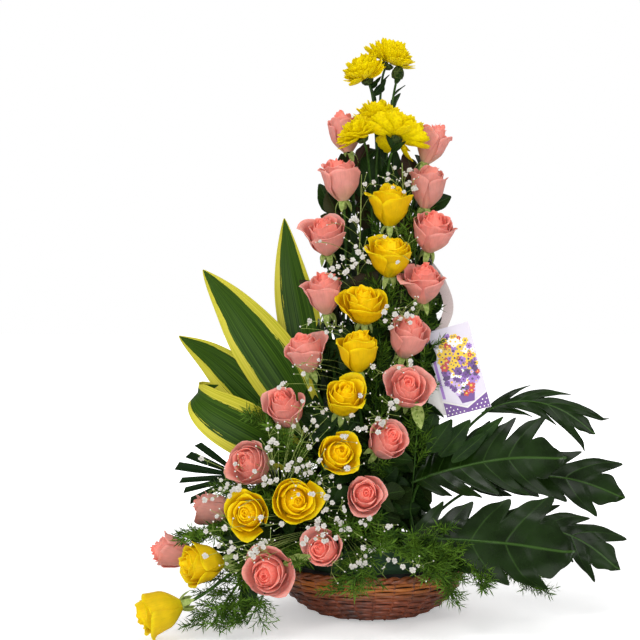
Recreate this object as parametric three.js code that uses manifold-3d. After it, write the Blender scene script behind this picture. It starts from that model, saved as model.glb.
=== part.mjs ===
// A tall flower basket arrangement: pink and yellow roses, yellow chrysanthemums, striped and lobed
// leaves, a trimmed palm fan, ferny asparagus, baby's breath, a greeting card and a ribbon, all
// standing in a block of wet floral foam in a shallow willow basket.
//
// Millimetres, +Z up, and the viewer stands on the -Y side. The origin is the middle of the basket's
// base. Every stalk ends in a plain hole in the foam.
import * as THREE from "three";
import { mergeVertices } from "three/addons/utils/BufferGeometryUtils.js";
import Module from "manifold-3d";

const wasm = await Module();
wasm.setup();

// Driving dimensions, in millimetres
const BASKET_HEIGHT = 62;
const RIM_RADIUS = 122;
const BASE_RADIUS = 66;
const WALL = 5;
const BASKET_FLOOR = 5;
const STAKES = 18;
const WEAVE_ROWS = 7;
const WEAVE_RELIEF = 1.5;
const LINER_WALL = 1;
const LINER_SIDES = 12;
const CLEARANCE = 0.4;
const TABLE_GAP = 1;
const FOAM_TOP = 88;
const FOAM_TOP_RADIUS = 90;
const HOLE_FLOOR = 30;
const HOLE_SIDES = 5;
const MOST_LEAN = 0.45;
const STEM_RADIUS = 2;
const STALK_TOP = 12;
const LEAF = 0.9;
const WELD = 1e-4;
const SMALLEST_STEP = 0.05;
const UP = new THREE.Vector3(0, 0, 1);

// Materials, with their colours as they show in daylight
const finish = (color, roughness) => new THREE.MeshStandardMaterial({ color, roughness, metalness: 0 });
const MATERIALS = {
  willow: finish("#7a3f22", 0.7),
  liner: finish("#2c3a2e", 0.4),
  foam: finish("#3f6b3a", 0.95),
  pink: finish("#f0928f", 0.6),
  yellow: finish("#f2c40c", 0.6),
  daisy: finish("#f3e013", 0.6),
  stem: finish("#3d5c2b", 0.6),
  striped: finish("#2f5a2a", 0.35),
  palm: finish("#1f3a22", 0.4),
  lobed: finish("#1e4a20", 0.3),
  fern: finish("#2f5a22", 0.7),
  gypsophila: finish("#eef0e6", 0.8),
  card: finish("#ece8f2", 0.35),
  envelope: finish("#f2f0ec", 0.8),
  ribbon: finish("#e9e6e2", 0.5),
};

// Solids

const vec = (x, y, z) => new THREE.Vector3(x, y, z);

// A direction from its bearing round the basket and its lift above level, in degrees
function facing(bearing, lift) {
  const [b, e] = [THREE.MathUtils.degToRad(bearing), THREE.MathUtils.degToRad(lift)];
  return vec(Math.cos(e) * Math.cos(b), Math.cos(e) * Math.sin(b), Math.sin(e));
}

function randomFrom(seed) {
  let state = seed;
  return () => {
    state = (state + 0x6d2b79f5) | 0;
    let t = Math.imul(state ^ (state >>> 15), 1 | state);
    t = (t + Math.imul(t ^ (t >>> 7), 61 | t)) ^ t;
    return ((t ^ (t >>> 14)) >>> 0) / 4294967296;
  };
}

function fromTriangles(points, faces) {
  const flat = new Float32Array(points.length * 3);
  points.forEach((p, i) => p.toArray(flat, i * 3));
  const triVerts = new Uint32Array(faces.flat());
  return new wasm.Manifold(new wasm.Mesh({ numProp: 3, vertProperties: flat, triVerts }));
}

// A closed three.js geometry as a solid, moved by a matrix
function asSolid(geometry, matrix = new THREE.Matrix4()) {
  const loose = geometry.index ? geometry.toNonIndexed() : geometry.clone();
  const bare = new THREE.BufferGeometry().setAttribute("position", loose.getAttribute("position"));
  const merged = mergeVertices(bare.applyMatrix4(matrix), WELD);
  const place = merged.getAttribute("position");
  const points = Array.from({ length: place.count }, (_, i) => vec().fromBufferAttribute(place, i));
  const index = merged.index.array;
  const faces = [];
  for (let i = 0; i < index.length; i += 3) {
    const [a, b, c] = [index[i], index[i + 1], index[i + 2]];
    if (a !== b && b !== c && c !== a) faces.push([a, b, c]);
  }
  return fromTriangles(points, faces);
}

const union = (solids) => wasm.Manifold.union(solids);

// The largest connected body of a solid: what falls loose is dropped
function wholePiece(solid) {
  const bodies = solid.decompose();
  return bodies.sort((a, b) => b.volume() - a.volume())[0];
}

// A thin closed sheet about a middle surface, with both faces split into the same triangles
function sheet(points, faces, thickness) {
  const normals = points.map(() => vec(0, 0, 0));
  const edges = new Map();
  for (const [a, b, c] of faces) {
    const n = vec().subVectors(points[b], points[a]).cross(vec().subVectors(points[c], points[a]));
    [a, b, c].forEach((i) => normals[i].add(n));
    for (const [p, q] of [[a, b], [b, c], [c, a]]) {
      if (edges.has(`${q},${p}`)) edges.delete(`${q},${p}`);
      else edges.set(`${p},${q}`, [p, q]);
    }
  }
  normals.forEach((n) => n.normalize());
  const side = (sign) => points.map((p, i) => p.clone().addScaledVector(normals[i], (sign * thickness) / 2));
  const count = points.length;
  const all = [...side(1), ...side(-1)];
  const closed = faces.flatMap(([a, b, c]) => [[a, b, c], [c + count, b + count, a + count]]);
  for (const [p, q] of edges.values()) closed.push([q, p, p + count], [q, p + count, q + count]);
  return fromTriangles(all, closed);
}

// A blade over a grid: place(u, v) gives its middle surface for u from -1 to 1 and v from 0 to 1
function blade(columns, rows, place, thickness) {
  const points = [];
  const faces = [];
  for (let j = 0; j <= rows; j++)
    for (let i = 0; i <= columns; i++) points.push(place((2 * i) / columns - 1, j / rows));
  for (let j = 0; j < rows; j++)
    for (let i = 0; i < columns; i++) {
      const a = j * (columns + 1) + i;
      const c = a + columns + 1;
      faces.push([a, a + 1, c + 1], [a, c + 1, c]);
    }
  return sheet(points, faces, thickness);
}

// A path that runs straight from point to point, so that an extrusion has a ring at each of them
class Run extends THREE.Curve {
  constructor(points) {
    super();
    this.points = points;
  }

  getPoint(t, target = vec()) {
    const last = this.points.length - 1;
    const i = Math.min(last - 1, Math.floor(t * last + WELD));
    return target.copy(this.points[i]).lerp(this.points[i + 1], t * last - i);
  }

  getPointAt(t, target) {
    return this.getPoint(t, target);
  }

  getTangentAt(t, target = vec()) {
    const last = this.points.length - 1;
    const i = Math.round(t * last);
    const [before, after] = [this.points[Math.max(0, i - 1)], this.points[Math.min(last, i + 1)]];
    return target.subVectors(after, before).normalize();
  }
}

// A stalk through points, closed at both ends
function stalk(points, radius, sides) {
  const section = new THREE.Shape();
  for (let i = 0; i < sides; i++) {
    const a = (2 * Math.PI * i) / sides;
    if (i) section.lineTo(radius * Math.cos(a), radius * Math.sin(a));
    else section.moveTo(radius, 0);
  }
  const steps = points.length - 1;
  const path = new Run(points);
  return asSolid(new THREE.ExtrudeGeometry(section, { steps, bevelEnabled: false, extrudePath: path }));
}

// A solid of revolution about +Z from [radius, height] pairs that start and end on the axis
function turned(profile, segments) {
  const points = profile.map(([r, z]) => new THREE.Vector2(r, z));
  return asSolid(new THREE.LatheGeometry(points, segments), new THREE.Matrix4().makeRotationX(Math.PI / 2));
}

// A closed surface through rings of points, with one end point under them and one above them
function ringed(points, rings, around, foot, top) {
  const faces = [];
  for (let i = 0; i < around; i++) {
    const k = (i + 1) % around;
    for (let j = 0; j < (rings - 1) * around; j += around)
      faces.push([j + i, j + k, j + around + k], [j + i, j + around + k, j + around + i]);
    const last = (rings - 1) * around;
    faces.push([foot, k, i], [last + i, last + k, top]);
  }
  return fromTriangles(points, faces);
}

// A matrix that carries +Z to a direction and the origin to a point
function aimed(point, direction, twist = 0) {
  const turn = new THREE.Quaternion().setFromUnitVectors(UP, direction.clone().normalize());
  turn.multiply(new THREE.Quaternion().setFromAxisAngle(UP, twist));
  return new THREE.Matrix4().compose(point, turn, vec(1, 1, 1));
}

const moved = (solid, matrix) => solid.transform(matrix.elements);

// Nodes: what is placed already is kept, so that later pieces can be grown clear of it

const arrangement = new THREE.Group();
const placed = [];

function addNode(name, solid, material) {
  const whole = wholePiece(solid).simplify(SMALLEST_STEP);
  const { vertProperties, triVerts, numProp } = whole.getMesh();
  const geometry = new THREE.BufferGeometry();
  const flat = new Float32Array(triVerts.length * 3);
  triVerts.forEach((v, i) => flat.set(vertProperties.subarray(v * numProp, v * numProp + 3), i * 3));
  geometry.setAttribute("position", new THREE.BufferAttribute(flat, 3));
  geometry.computeVertexNormals();
  const mesh = new THREE.Mesh(geometry, material);
  mesh.name = name;
  arrangement.add(mesh);
  placed.push({ name, solid: whole, box: whole.boundingBox() });
}

function boxesApart(a, b, gap) {
  return [0, 1, 2].some((k) => a.min[k] > b.max[k] + gap || b.min[k] > a.max[k] + gap);
}

// True where a piece keeps a gap to every node so far, apart from those that it may touch
function isClear(solid, gap = 2 * CLEARANCE, except = []) {
  const box = solid.boundingBox();
  return placed.every(
    (n) => except.includes(n.name) || boxesApart(box, n.box, gap) || solid.minGap(n.solid, gap + 1) > gap,
  );
}

// The basket, its liner and the foam

// Height along the bowl's wall against its outer radius, as a quarter of an ellipse
function bowlRadius(z) {
  const rise = Math.min(1, z / BASKET_HEIGHT);
  return BASE_RADIUS + (RIM_RADIUS - BASE_RADIUS) * Math.sin((Math.PI / 2) * Math.pow(rise, 0.72));
}

// The wall of willow rods, woven over one stake and under the next, as relief on a bowl
function wovenBasket() {
  const around = 2 * STAKES;
  const rings = [];
  const ring = (radius, z, relief = 0, row = 0) => rings.push({ radius, z, relief, row });
  ring(BASE_RADIUS - 6, 0);
  ring(BASE_RADIUS, 3);
  for (let row = 0; row < WEAVE_ROWS; row++) {
    const z = 6 + ((BASKET_HEIGHT - 14) * row) / (WEAVE_ROWS - 1);
    ring(bowlRadius(z), z, WEAVE_RELIEF, row);
  }
  ring(RIM_RADIUS + 3, BASKET_HEIGHT - 4);
  ring(RIM_RADIUS + 2, BASKET_HEIGHT + 1);
  ring(RIM_RADIUS - WALL, BASKET_HEIGHT + 1);
  ring(bowlRadius(BASKET_HEIGHT / 2) - WALL, BASKET_HEIGHT / 2);
  ring(BASE_RADIUS - WALL, BASKET_FLOOR + 1);
  const points = rings.flatMap(({ radius, z, relief, row }) =>
    Array.from({ length: around }, (_, i) => {
      const a = (2 * Math.PI * i) / around;
      const over = relief * Math.cos((Math.PI / 2) * i + Math.PI * row);
      return vec((radius + over) * Math.cos(a), (radius + over) * Math.sin(a), z);
    }),
  );
  const bottom = points.push(vec(0, 0, 0)) - 1;
  const floor = points.push(vec(0, 0, BASKET_FLOOR)) - 1;
  return ringed(points, rings.length, around, bottom, floor);
}

function linerShell() {
  const half = BASKET_HEIGHT / 2;
  const outer = WALL + CLEARANCE + 0.6;
  const inner = outer + LINER_WALL;
  return turned(
    [
      [0, 6.4],
      [BASE_RADIUS - outer - 2, 6.8],
      [bowlRadius(half) - outer - 3, half],
      [RIM_RADIUS - outer - 4, BASKET_HEIGHT + 3],
      [RIM_RADIUS - inner - 4, BASKET_HEIGHT + 3],
      [bowlRadius(half) - inner - 3, half],
      [BASE_RADIUS - inner - 2.4, 7.8],
      [0, 7.8],
    ],
    LINER_SIDES,
  );
}

// A round block of foam with a plain hole for each stalk or bundle of stalks
function foamBlock(holes) {
  const half = BASKET_HEIGHT / 2;
  const block = turned(
    [
      [0, 8.2],
      [BASE_RADIUS - 14, 8.2],
      [bowlRadius(half) - 22, half],
      [FOAM_TOP_RADIUS, BASKET_HEIGHT + 4],
      [FOAM_TOP_RADIUS - 8, FOAM_TOP],
      [0, FOAM_TOP],
    ],
    10,
  );
  const drilled = holes.map(({ point, direction, radius }) => {
    const length = FOAM_TOP + 30 - HOLE_FLOOR;
    const bore = new THREE.CylinderGeometry(radius, radius, length, HOLE_SIDES).rotateX(Math.PI / 2);
    const start = point.clone().addScaledVector(direction, -(point.z - HOLE_FLOOR) / direction.z);
    return asSolid(bore.translate(0, 0, length / 2 - 1), aimed(start, direction));
  });
  return block.subtract(union(drilled));
}

// Each stalk enters the foam at its own point on a straight run, and is held there
const holes = [];

function footing(x, y, lean = vec(0, 0, 1), radius = STEM_RADIUS) {
  const point = vec(x, y, FOAM_TOP);
  const slope = Math.hypot(lean.x, lean.y) / lean.z;
  const direction = lean.clone();
  if (slope > MOST_LEAN) direction.set((lean.x * MOST_LEAN) / slope, (lean.y * MOST_LEAN) / slope, lean.z);
  direction.normalize();
  holes.push({ point, direction, radius: radius / Math.cos(Math.PI / HOLE_SIDES) + CLEARANCE });
  const depth = FOAM_TOP - HOLE_FLOOR - 2;
  return { point, direction, foot: point.clone().addScaledVector(direction, -depth / direction.z) };
}

// Roses

// group: the bundle of stems it belongs to. x, y, z: the middle of the bloom. bearing: the way it leans,
// in degrees round the basket (-90 is towards the viewer, 180 is left). rise: degrees above level.
const ROSES = [
  ["pink", "left", -32, 14, 618, 180, 80, 42, 0.25],
  ["pink", "left", -38, -34, 550, -120, 78, 46, 0.35],
  ["pink", "left", -58, -48, 478, -100, 55, 50, 0.5],
  ["pink", "left", -59, -58, 405, -120, 74, 46, 0.55],
  ["pink", "left", -82, -68, 332, -130, 68, 50, 0.7],
  ["pink", "left", -107, -84, 262, -110, 45, 48, 0.5],
  ["pink", "low", -148, -96, 196, -120, 20, 50, 0.5],
  ["pink", "right", 79, -8, 600, 0, 70, 40, 0.3],
  ["pink", "right", 72, -32, 541, -60, 76, 44, 0.3],
  ["pink", "right", 77, -42, 483, -70, 60, 50, 0.5],
  ["pink", "right", 65, -54, 417, -90, 64, 54, 0.8],
  ["pink", "right", 44, -66, 350, -60, 64, 50, 0.5],
  ["pink", "right", 42, -84, 286, -80, 35, 56, 0.8],
  ["pink", "middle", 15, -98, 224, -60, 30, 48, 0.6],
  ["pink", "front", -12, -118, 162, -90, 12, 44, 0.6],
  ["pink", "low", -190, -90, 140, 175, 8, 40, 0.1],
  ["pink", "low", -243, -92, 90, 180, 12, 38, 0.3],
  ["pink", "front", -58, -142, 102, -110, 18, 44, 0.6],
  ["pink", "front", -124, -142, 76, -100, 2, 56, 0.8],
  ["yellow", "middle", 23, -52, 516, -90, 76, 52, 0.55],
  ["yellow", "middle", 22, -66, 451, -90, 66, 54, 0.6],
  ["yellow", "middle", -10, -82, 390, -90, 60, 58, 1],
  ["yellow", "middle", -19, -98, 334, -90, 72, 46, 0.5],
  ["yellow", "middle", -36, -108, 277, -80, 45, 48, 0.5],
  ["yellow", "middle", -46, -124, 212, -80, 20, 48, 0.6],
  ["yellow", "front", -97, -134, 160, -80, 10, 52, 0.85],
  ["yellow", "low", -148, -130, 142, -100, 8, 50, 0.8],
  ["yellow", "low", -203, -134, 84, -150, 2, 48, 0.4],
  ["yellow", "low", -250, -168, 35, -160, -14, 48, 0.2],
].map(([colour, group, x, y, z, bearing, rise, width, open], i) => {
  const axis = facing(bearing, rise);
  const height = 50 - 6 * open;
  const base = vec(x, y, z).addScaledVector(axis, -height / 2);
  return { colour, group, axis, base, height, radius: width / 2, open, twist: i * 1.9 };
});

// Rings of points that a bloom's surface runs through: up the outer petals, over their lips, down into
// the gap behind them, up the inner petals and on to the furled heart. reach: share of the radius.
// rise: share of the height. out, drop: what full opening adds and takes away. layer: which petals.
const BLOOM_RINGS = [
  { layer: 0, reach: 0.3, rise: 0, out: 0, drop: 0, edge: 0 },
  { layer: 0, reach: 0.9, rise: 0.38, out: 0, drop: 0, edge: 0.6 },
  { layer: 0, reach: 0.84, rise: 0.88, out: 0.3, drop: 0.24, edge: 1 },
  { layer: 0, reach: 0.64, rise: 0.66, out: 0.04, drop: 0.1, edge: 0.5 },
  { layer: 1, reach: 0.55, rise: 0.98, out: 0.16, drop: 0.06, edge: 1 },
  { layer: 1, reach: 0.36, rise: 0.8, out: 0.04, drop: 0, edge: 0.5 },
  { layer: 2, reach: 0.27, rise: 1, out: 0.02, drop: 0, edge: 1 },
];
const PETALS_IN_LAYER = 3;
const PETAL_HALF_ANGLE = 0.9;
const PETAL_LAP = 0.1;
const LIP_DIP = 0.1;
const LAYER_TURN = 1.05;
const HEART_PIT = 0.84;

// A bloom with its foot at the origin. Each petal's one side laps outside its neighbour's, and its lip
// stands highest in the middle.
function roseBloom({ height, radius, open, twist }) {
  const across = 3 * PETALS_IN_LAYER;
  const points = BLOOM_RINGS.flatMap(({ layer, reach, rise, out, drop, edge }) =>
    Array.from({ length: across }, (_, i) => {
      const u = (i % 3) - 1;
      const middle = twist + layer * LAYER_TURN + (2 * Math.PI * Math.floor(i / 3)) / PETALS_IN_LAYER;
      const a = middle + u * PETAL_HALF_ANGLE;
      const r = radius * (reach + out * open) * (1 + PETAL_LAP * edge * u);
      const z = height * (rise - drop * open - (u && edge === 1 ? LIP_DIP : 0));
      return vec(r * Math.cos(a), r * Math.sin(a), z);
    }),
  );
  const foot = points.push(vec(0, 0, 0)) - 1;
  const pit = points.push(vec(0, 0, height * HEART_PIT)) - 1;
  return ringed(points, BLOOM_RINGS.length, across, foot, pit);
}

const SEPALS = 4;
const SEPAL_LENGTHS = [18, 13, 9, 6];
const SEPAL_DROOP = 0.36;
const CUP_DEPTH = 12;
const CUP_SHARE = 0.27;

// The green cup under a bloom and the sepals folded back from it, as a star between two rings. The
// sepals are as long as there is room for.
function roseCalyx({ axis, base, radius, twist }) {
  const cup = radius * CUP_SHARE;
  const around = 2 * SEPALS;
  let calyx;
  for (const length of SEPAL_LENGTHS) {
    const rings = [
      { tip: length, drop: -7 - length * SEPAL_DROOP, notch: 4.4, at: -8 },
      { tip: length, drop: -5.6 - length * SEPAL_DROOP, notch: cup + 0.2, at: -3.6 },
      { tip: cup, drop: -CLEARANCE, notch: cup, at: -CLEARANCE },
    ];
    const points = rings.flatMap(({ tip, drop, notch, at }) =>
      Array.from({ length: around }, (_, i) => {
        const a = twist + (Math.PI * i) / SEPALS;
        const r = i % 2 ? notch : tip;
        return vec(r * Math.cos(a), r * Math.sin(a), i % 2 ? at : drop);
      }),
    );
    const foot = points.push(vec(0, 0, -CUP_DEPTH)) - 1;
    const top = points.push(vec(0, 0, -CLEARANCE)) - 1;
    calyx = moved(ringed(points, rings.length, around, foot, top), aimed(base, axis));
    if (isClear(calyx, CLEARANCE * 0.9)) break;
  }
  return calyx;
}

// A path from a hole in the foam to an end point, arriving there along an axis. low, high: how far it
// holds its first and its last direction, as shares of its span. aside: its place in a bundle.
function rise(root, end, axis, steps, low = 0.6, high = 0.22, aside = vec(0, 0, 0)) {
  const start = root.point.clone().addScaledVector(root.direction, 8).add(aside);
  const span = end.distanceTo(start);
  const near = start.clone().addScaledVector(root.direction, span * low);
  const far = end.clone().addScaledVector(axis, -span * high);
  const curve = new THREE.CubicBezierCurve3(start, near, far, end);
  return [root.foot.clone().add(aside), ...curve.getPoints(steps)];
}

// A rose leaf as shares of its size: joints up the midrib, a side leaflet and the end leaflet
const LEAF_JOINTS = [0.003, 0.28, 0.36, 0.54];
const LATERAL = [[0.3, 0.24], [0.5, 0.54], [0.2, 0.62]];
const TERMINAL = [[-0.23, 0.7], [-0.19, 0.96], [0, 1.18], [0.19, 0.96], [0.23, 0.7]];
const MIDRIB = 0.015;
const LEAF_CUP = 0.4;

// A rose leaf: a narrow midrib with three leaflets, each cupped a little
function roseLeaf(point, direction, size, twist) {
  const points = [];
  const put = (x, z) => points.push(vec(x * size, Math.abs(x) * size * LEAF_CUP, z * size)) - 1;
  const [a, b, c, d] = LEAF_JOINTS.map((z) => [put(-MIDRIB, z), put(MIDRIB, z)]);
  const faces = [[a, b], [b, c], [c, d]].flatMap(([[p, q], [r, s]]) => [[p, q, s], [p, s, r]]);
  for (const side of [-1, 1]) {
    const add = (i, j, k) => faces.push(side < 0 ? [i, j, k] : [i, k, j]);
    const [low, high] = [b, c].map((joint) => joint[side < 0 ? 0 : 1]);
    const [under, tip, over] = LATERAL.map(([x, z]) => put(side * x, z));
    add(low, tip, under);
    add(low, over, tip);
    add(low, high, over);
  }
  const [left, shoulder, tip, right, wing] = TERMINAL.map(([x, z]) => put(x, z));
  faces.push([d[0], d[1], tip]);
  faces.push([d[0], tip, shoulder], [d[0], shoulder, left]);
  faces.push([d[1], right, tip], [d[1], wing, right]);
  return moved(sheet(points, faces, LEAF), aimed(point, direction, twist));
}

const STEM_STEPS = 4;
const STEM_SIDES = 3;
const BUNDLE_RADIUS = 6.2;
const BUNDLE_SPREAD = 0.86;

// The bundles of stems: where each enters the foam, and the way it leans there
const BUNDLES = {
  left: { x: -30, y: 8, lean: vec(-0.04, -0.02, 1) },
  middle: { x: 0, y: -22, lean: vec(0.02, -0.1, 1) },
  right: { x: 32, y: 6, lean: vec(0.06, -0.02, 1) },
  low: { x: -58, y: -22, lean: vec(-0.42, -0.16, 1), low: 0.3 },
  front: { x: -22, y: -56, lean: vec(-0.1, -0.43, 1), low: 0.3 },
};

// A leaf without room is turned, and then made smaller: share of its size, and degrees
const LEAF_TRIES = [
  [1, 0], [1, 20], [1, -20], [0.8, 0], [0.8, 35], [0.8, -35], [0.6, 0], [0.6, 50], [0.6, -50],
];

// Rose leaves: bundle, stem in it, share along the stem, bearing, lift, size, twist
const ROSE_LEAVES = [
  ["left", 1, 0.8, 165, 35, 74, 0],
  ["left", 2, 0.8, 170, 10, 66, 0.4],
  ["left", 0, 0.6, 60, 40, 76, 0.2],
  ["left", 3, 0.7, -170, 20, 64, 0.3],
  ["left", 0, 0.35, 40, 35, 80, 0.3],
  ["left", 5, 0.7, 190, -20, 60, 0.2],
  ["right", 1, 0.85, 5, 35, 72, 0],
  ["right", 0, 0.85, -40, 50, 56, 0.6],
  ["right", 2, 0.8, 10, -10, 60, 0.2],
  ["right", 3, 0.7, 140, 30, 74, 0.1],
  ["right", 4, 0.6, 10, -15, 70, 0.3],
  ["right", 5, 0.6, 0, -30, 66, 0],
  ["middle", 0, 0.8, 150, 40, 66, 0.3],
  ["middle", 2, 0.7, 80, 30, 72, 0.1],
  ["middle", 3, 0.6, 160, 10, 62, 0.5],
  ["middle", 4, 0.6, 8, 0, 68, 0.3],
  ["middle", 6, 0.7, -60, -20, 60, 0.3],
  ["low", 2, 0.5, -110, -20, 56, 0.3],
  ["low", 0, 0.6, 120, 20, 66, 0.2],
  ["front", 1, 0.6, -30, 20, 60, 0.2],
];

// Chrysanthemums: rings like a rose's, each layer a fringe of narrow pointed petals. fringe: how far
// a tip stands out past the notch beside it. half: the layer turned by half a petal.
const DAISY_RINGS = [
  { reach: 0.16, rise: 0, fringe: 0, half: 0 },
  { reach: 0.84, rise: 0.36, fringe: 0.16, half: 0 },
  { reach: 0.8, rise: 0.43, fringe: 0.16, half: 0 },
  { reach: 0.72, rise: 0.68, fringe: 0.18, half: 1 },
  { reach: 0.67, rise: 0.74, fringe: 0.18, half: 1 },
  { reach: 0.48, rise: 0.96, fringe: 0.2, half: 0 },
  { reach: 0.26, rise: 0.9, fringe: 0.1, half: 1 },
];
const DAISY_PETALS = 8;
const DAISY_PIT = 0.82;

function daisyHead({ radius, height, seed }) {
  const random = randomFrom(seed);
  const across = 2 * DAISY_PETALS;
  const stray = Array.from({ length: across }, () => 0.9 + 0.2 * random());
  const points = DAISY_RINGS.flatMap(({ reach, rise, fringe, half }) =>
    Array.from({ length: across }, (_, i) => {
      const a = (2 * Math.PI * i) / across;
      const tip = (i + half) % 2 ? -1 : 1;
      const r = radius * (reach + fringe * (tip > 0 ? stray[i] : -1));
      const z = height * (rise + (tip > 0 ? 0.06 * (stray[(i + 3) % across] - 0.9) : 0));
      return vec(r * Math.cos(a), r * Math.sin(a), z);
    }),
  );
  const foot = points.push(vec(0, 0, 0)) - 1;
  const pit = points.push(vec(0, 0, height * DAISY_PIT)) - 1;
  return ringed(points, DAISY_RINGS.length, across, foot, pit);
}

// Each head: the middle of its foot, the way it faces, its radius and its height
const DAISIES = {
  upper_left: [{ base: vec(-3, 18, 690), axis: facing(-150, 62), radius: 28, height: 32, seed: 11 }],
  upper_right: [{ base: vec(24, 26, 712), axis: facing(-20, 62), radius: 31, height: 32, seed: 12 }],
  lower: [
    { base: vec(-12, -38, 606), axis: facing(-140, 55), radius: 29, height: 24, seed: 13 },
    { base: vec(9, -8, 628), axis: facing(-100, 72), radius: 30, height: 28, seed: 14 },
    { base: vec(32, -46, 603), axis: facing(40, 62), radius: 37, height: 30, seed: 15 },
  ],
};

// The chrysanthemums' own stems, with a green cup under each head and one closed bud
const DAISY_ROOT = { x: 10, y: 34, lean: vec(0, -0.02, 1) };
const DAISY_BUD = { tip: vec(36, 20, 690), axis: facing(-40, 78), radius: 8, height: 18 };
const DAISY_BUNDLE = 5.2;
const DAISY_SPREAD = 0.76;

function daisyStems() {
  const root = footing(DAISY_ROOT.x, DAISY_ROOT.y, DAISY_ROOT.lean, DAISY_BUNDLE);
  const top = root.point.clone().addScaledVector(root.direction, STALK_TOP);
  const parts = [stalk([root.foot, top], DAISY_BUNDLE, 6)];
  const heads = Object.values(DAISIES).flat();
  const ends = heads.map(({ base, axis, radius }) => ({ base, axis, cup: radius * CUP_SHARE }));
  ends.push({ base: DAISY_BUD.tip, axis: DAISY_BUD.axis, cup: 0 });
  ends.forEach(({ base, axis, cup }, i) => {
    const a = (2 * Math.PI * i) / ends.length;
    const aside = vec(Math.cos(a), Math.sin(a), 0).multiplyScalar(DAISY_BUNDLE * DAISY_SPREAD);
    const end = base.clone().addScaledVector(axis, cup ? -5 : 4);
    const path = rise(root, end, axis, STEM_STEPS, 0.9, 0.04, aside);
    path[0].copy(root.point).addScaledVector(root.direction, -4);
    parts.push(stalk(path, STEM_RADIUS * 0.8, STEM_SIDES));
    const profile = cup
      ? [[0, -7], [cup * 0.6, -6], [cup, -CLEARANCE], [0, -CLEARANCE]]
      : [[0, 0], [DAISY_BUD.radius, 6], [DAISY_BUD.radius * 0.8, 14], [0, DAISY_BUD.height]];
    parts.push(moved(turned(profile, 5), aimed(base, axis)));
  });
  return union(parts);
}

// Striped leaves: broad pointed blades on a short stalk. rib: the middle line from the stalk to the
// tip. across: the way its width runs. root: where the stalk enters the foam.
const STRIPED_LEAVES = {
  tall: {
    rib: [vec(-75, 22, 262), vec(-88, 34, 350), vec(-104, 34, 440), vec(-112, 24, 508)],
    across: vec(1, -0.15, 0.1), half: 29, root: [-44, 30],
  },
  broad: {
    rib: [vec(-66, -2, 222), vec(-112, 6, 300), vec(-168, 6, 380), vec(-216, -8, 439)],
    across: vec(0.8, -0.3, 0.62), half: 41, root: [-56, 16],
  },
  side: {
    rib: [vec(-92, 32, 212), vec(-140, 42, 262), vec(-200, 42, 318), vec(-251, 26, 353)],
    across: vec(0.6, -0.3, 0.76), half: 34, root: [-64, 34],
  },
  curled: {
    rib: [
      vec(-86, -26, 190), vec(-140, -44, 226), vec(-204, -44, 262), vec(-222, -22, 280), vec(-196, -12, 290),
    ],
    across: vec(0.5, -0.2, 0.82), half: 36, root: [-70, 4],
  },
};
const STRIPED_ROWS = 7;
const STRIPED_TIP = 1.2;
const STRIPED_CUP = 0.22;

// Half the width of a striped leaf at a share of its length: widest below the middle
function stripedWidth(half, v) {
  const swell = Math.sin(Math.PI * Math.pow(0.04 + 0.96 * v, 0.85));
  return Math.max(STRIPED_TIP, half * Math.pow(Math.max(0, swell), 0.8));
}

function stripedLeaf({ rib, across, half, root }) {
  const lean = vec().subVectors(rib[0], vec(root[0], root[1], FOAM_TOP));
  const path = new THREE.CatmullRomCurve3(rib);
  const leaf = blade(
    2,
    STRIPED_ROWS,
    (u, v) => {
      const middle = path.getPointAt(v);
      const tangent = path.getTangentAt(v);
      const side = across.clone().addScaledVector(tangent, -across.dot(tangent)).normalize();
      const face = vec().crossVectors(side, tangent);
      const width = stripedWidth(half, v);
      middle.addScaledVector(side, u * width);
      return middle.addScaledVector(face, Math.abs(u) * width * STRIPED_CUP);
    },
    LEAF,
  );
  const foot = footing(root[0], root[1], lean, STEM_RADIUS);
  const joint = path.getPointAt(0.03);
  const stem = rise(foot, joint, path.getTangentAt(0), 3, 0.3, 0.3);
  return union([leaf, stalk(stem, STEM_RADIUS, 4)]);
}

// Lobed leaves: an arched rib with pointed lobes down both sides, cut deeply between them
const LOBED_LEAVES = {
  arching: {
    rib: [vec(150, 38, 250), vec(225, 34, 292), vec(300, 30, 226)],
    across: vec(-0.1, 0.3, 0.95), half: 42, lobes: 3, slant: 0.9, neck: 0.14, root: [50, 32],
  },
  upper: {
    rib: [vec(52, -28, 166), vec(150, -44, 208), vec(232, -30, 196)],
    across: vec(-0.05, 0.45, 0.9), half: 56, lobes: 5, slant: 0.75, neck: 0.3, root: [52, -10],
  },
  far: {
    rib: [vec(130, 30, 150), vec(240, 26, 190), vec(325, 14, 142)],
    across: vec(0, 0.35, 0.94), half: 50, lobes: 4, slant: 0.8, neck: 0.3, root: [70, 24],
  },
  front: {
    rib: [vec(38, -94, 106), vec(140, -112, 112), vec(238, -112, 92)],
    across: vec(0, 0.55, 0.83), half: 58, lobes: 5, slant: 0.7, neck: 0.34, root: [16, -60],
  },
  low: {
    rib: [vec(142, -6, 100), vec(250, -20, 128), vec(318, -24, 54)],
    across: vec(0, 0.3, 0.95), half: 44, lobes: 4, slant: 0.8, neck: 0.3, root: [74, -14],
  },
};

// The lobed part of the rib, as shares of it
const LOBES_FROM = 0.04;
const LOBES_SPAN = 0.84;

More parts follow.
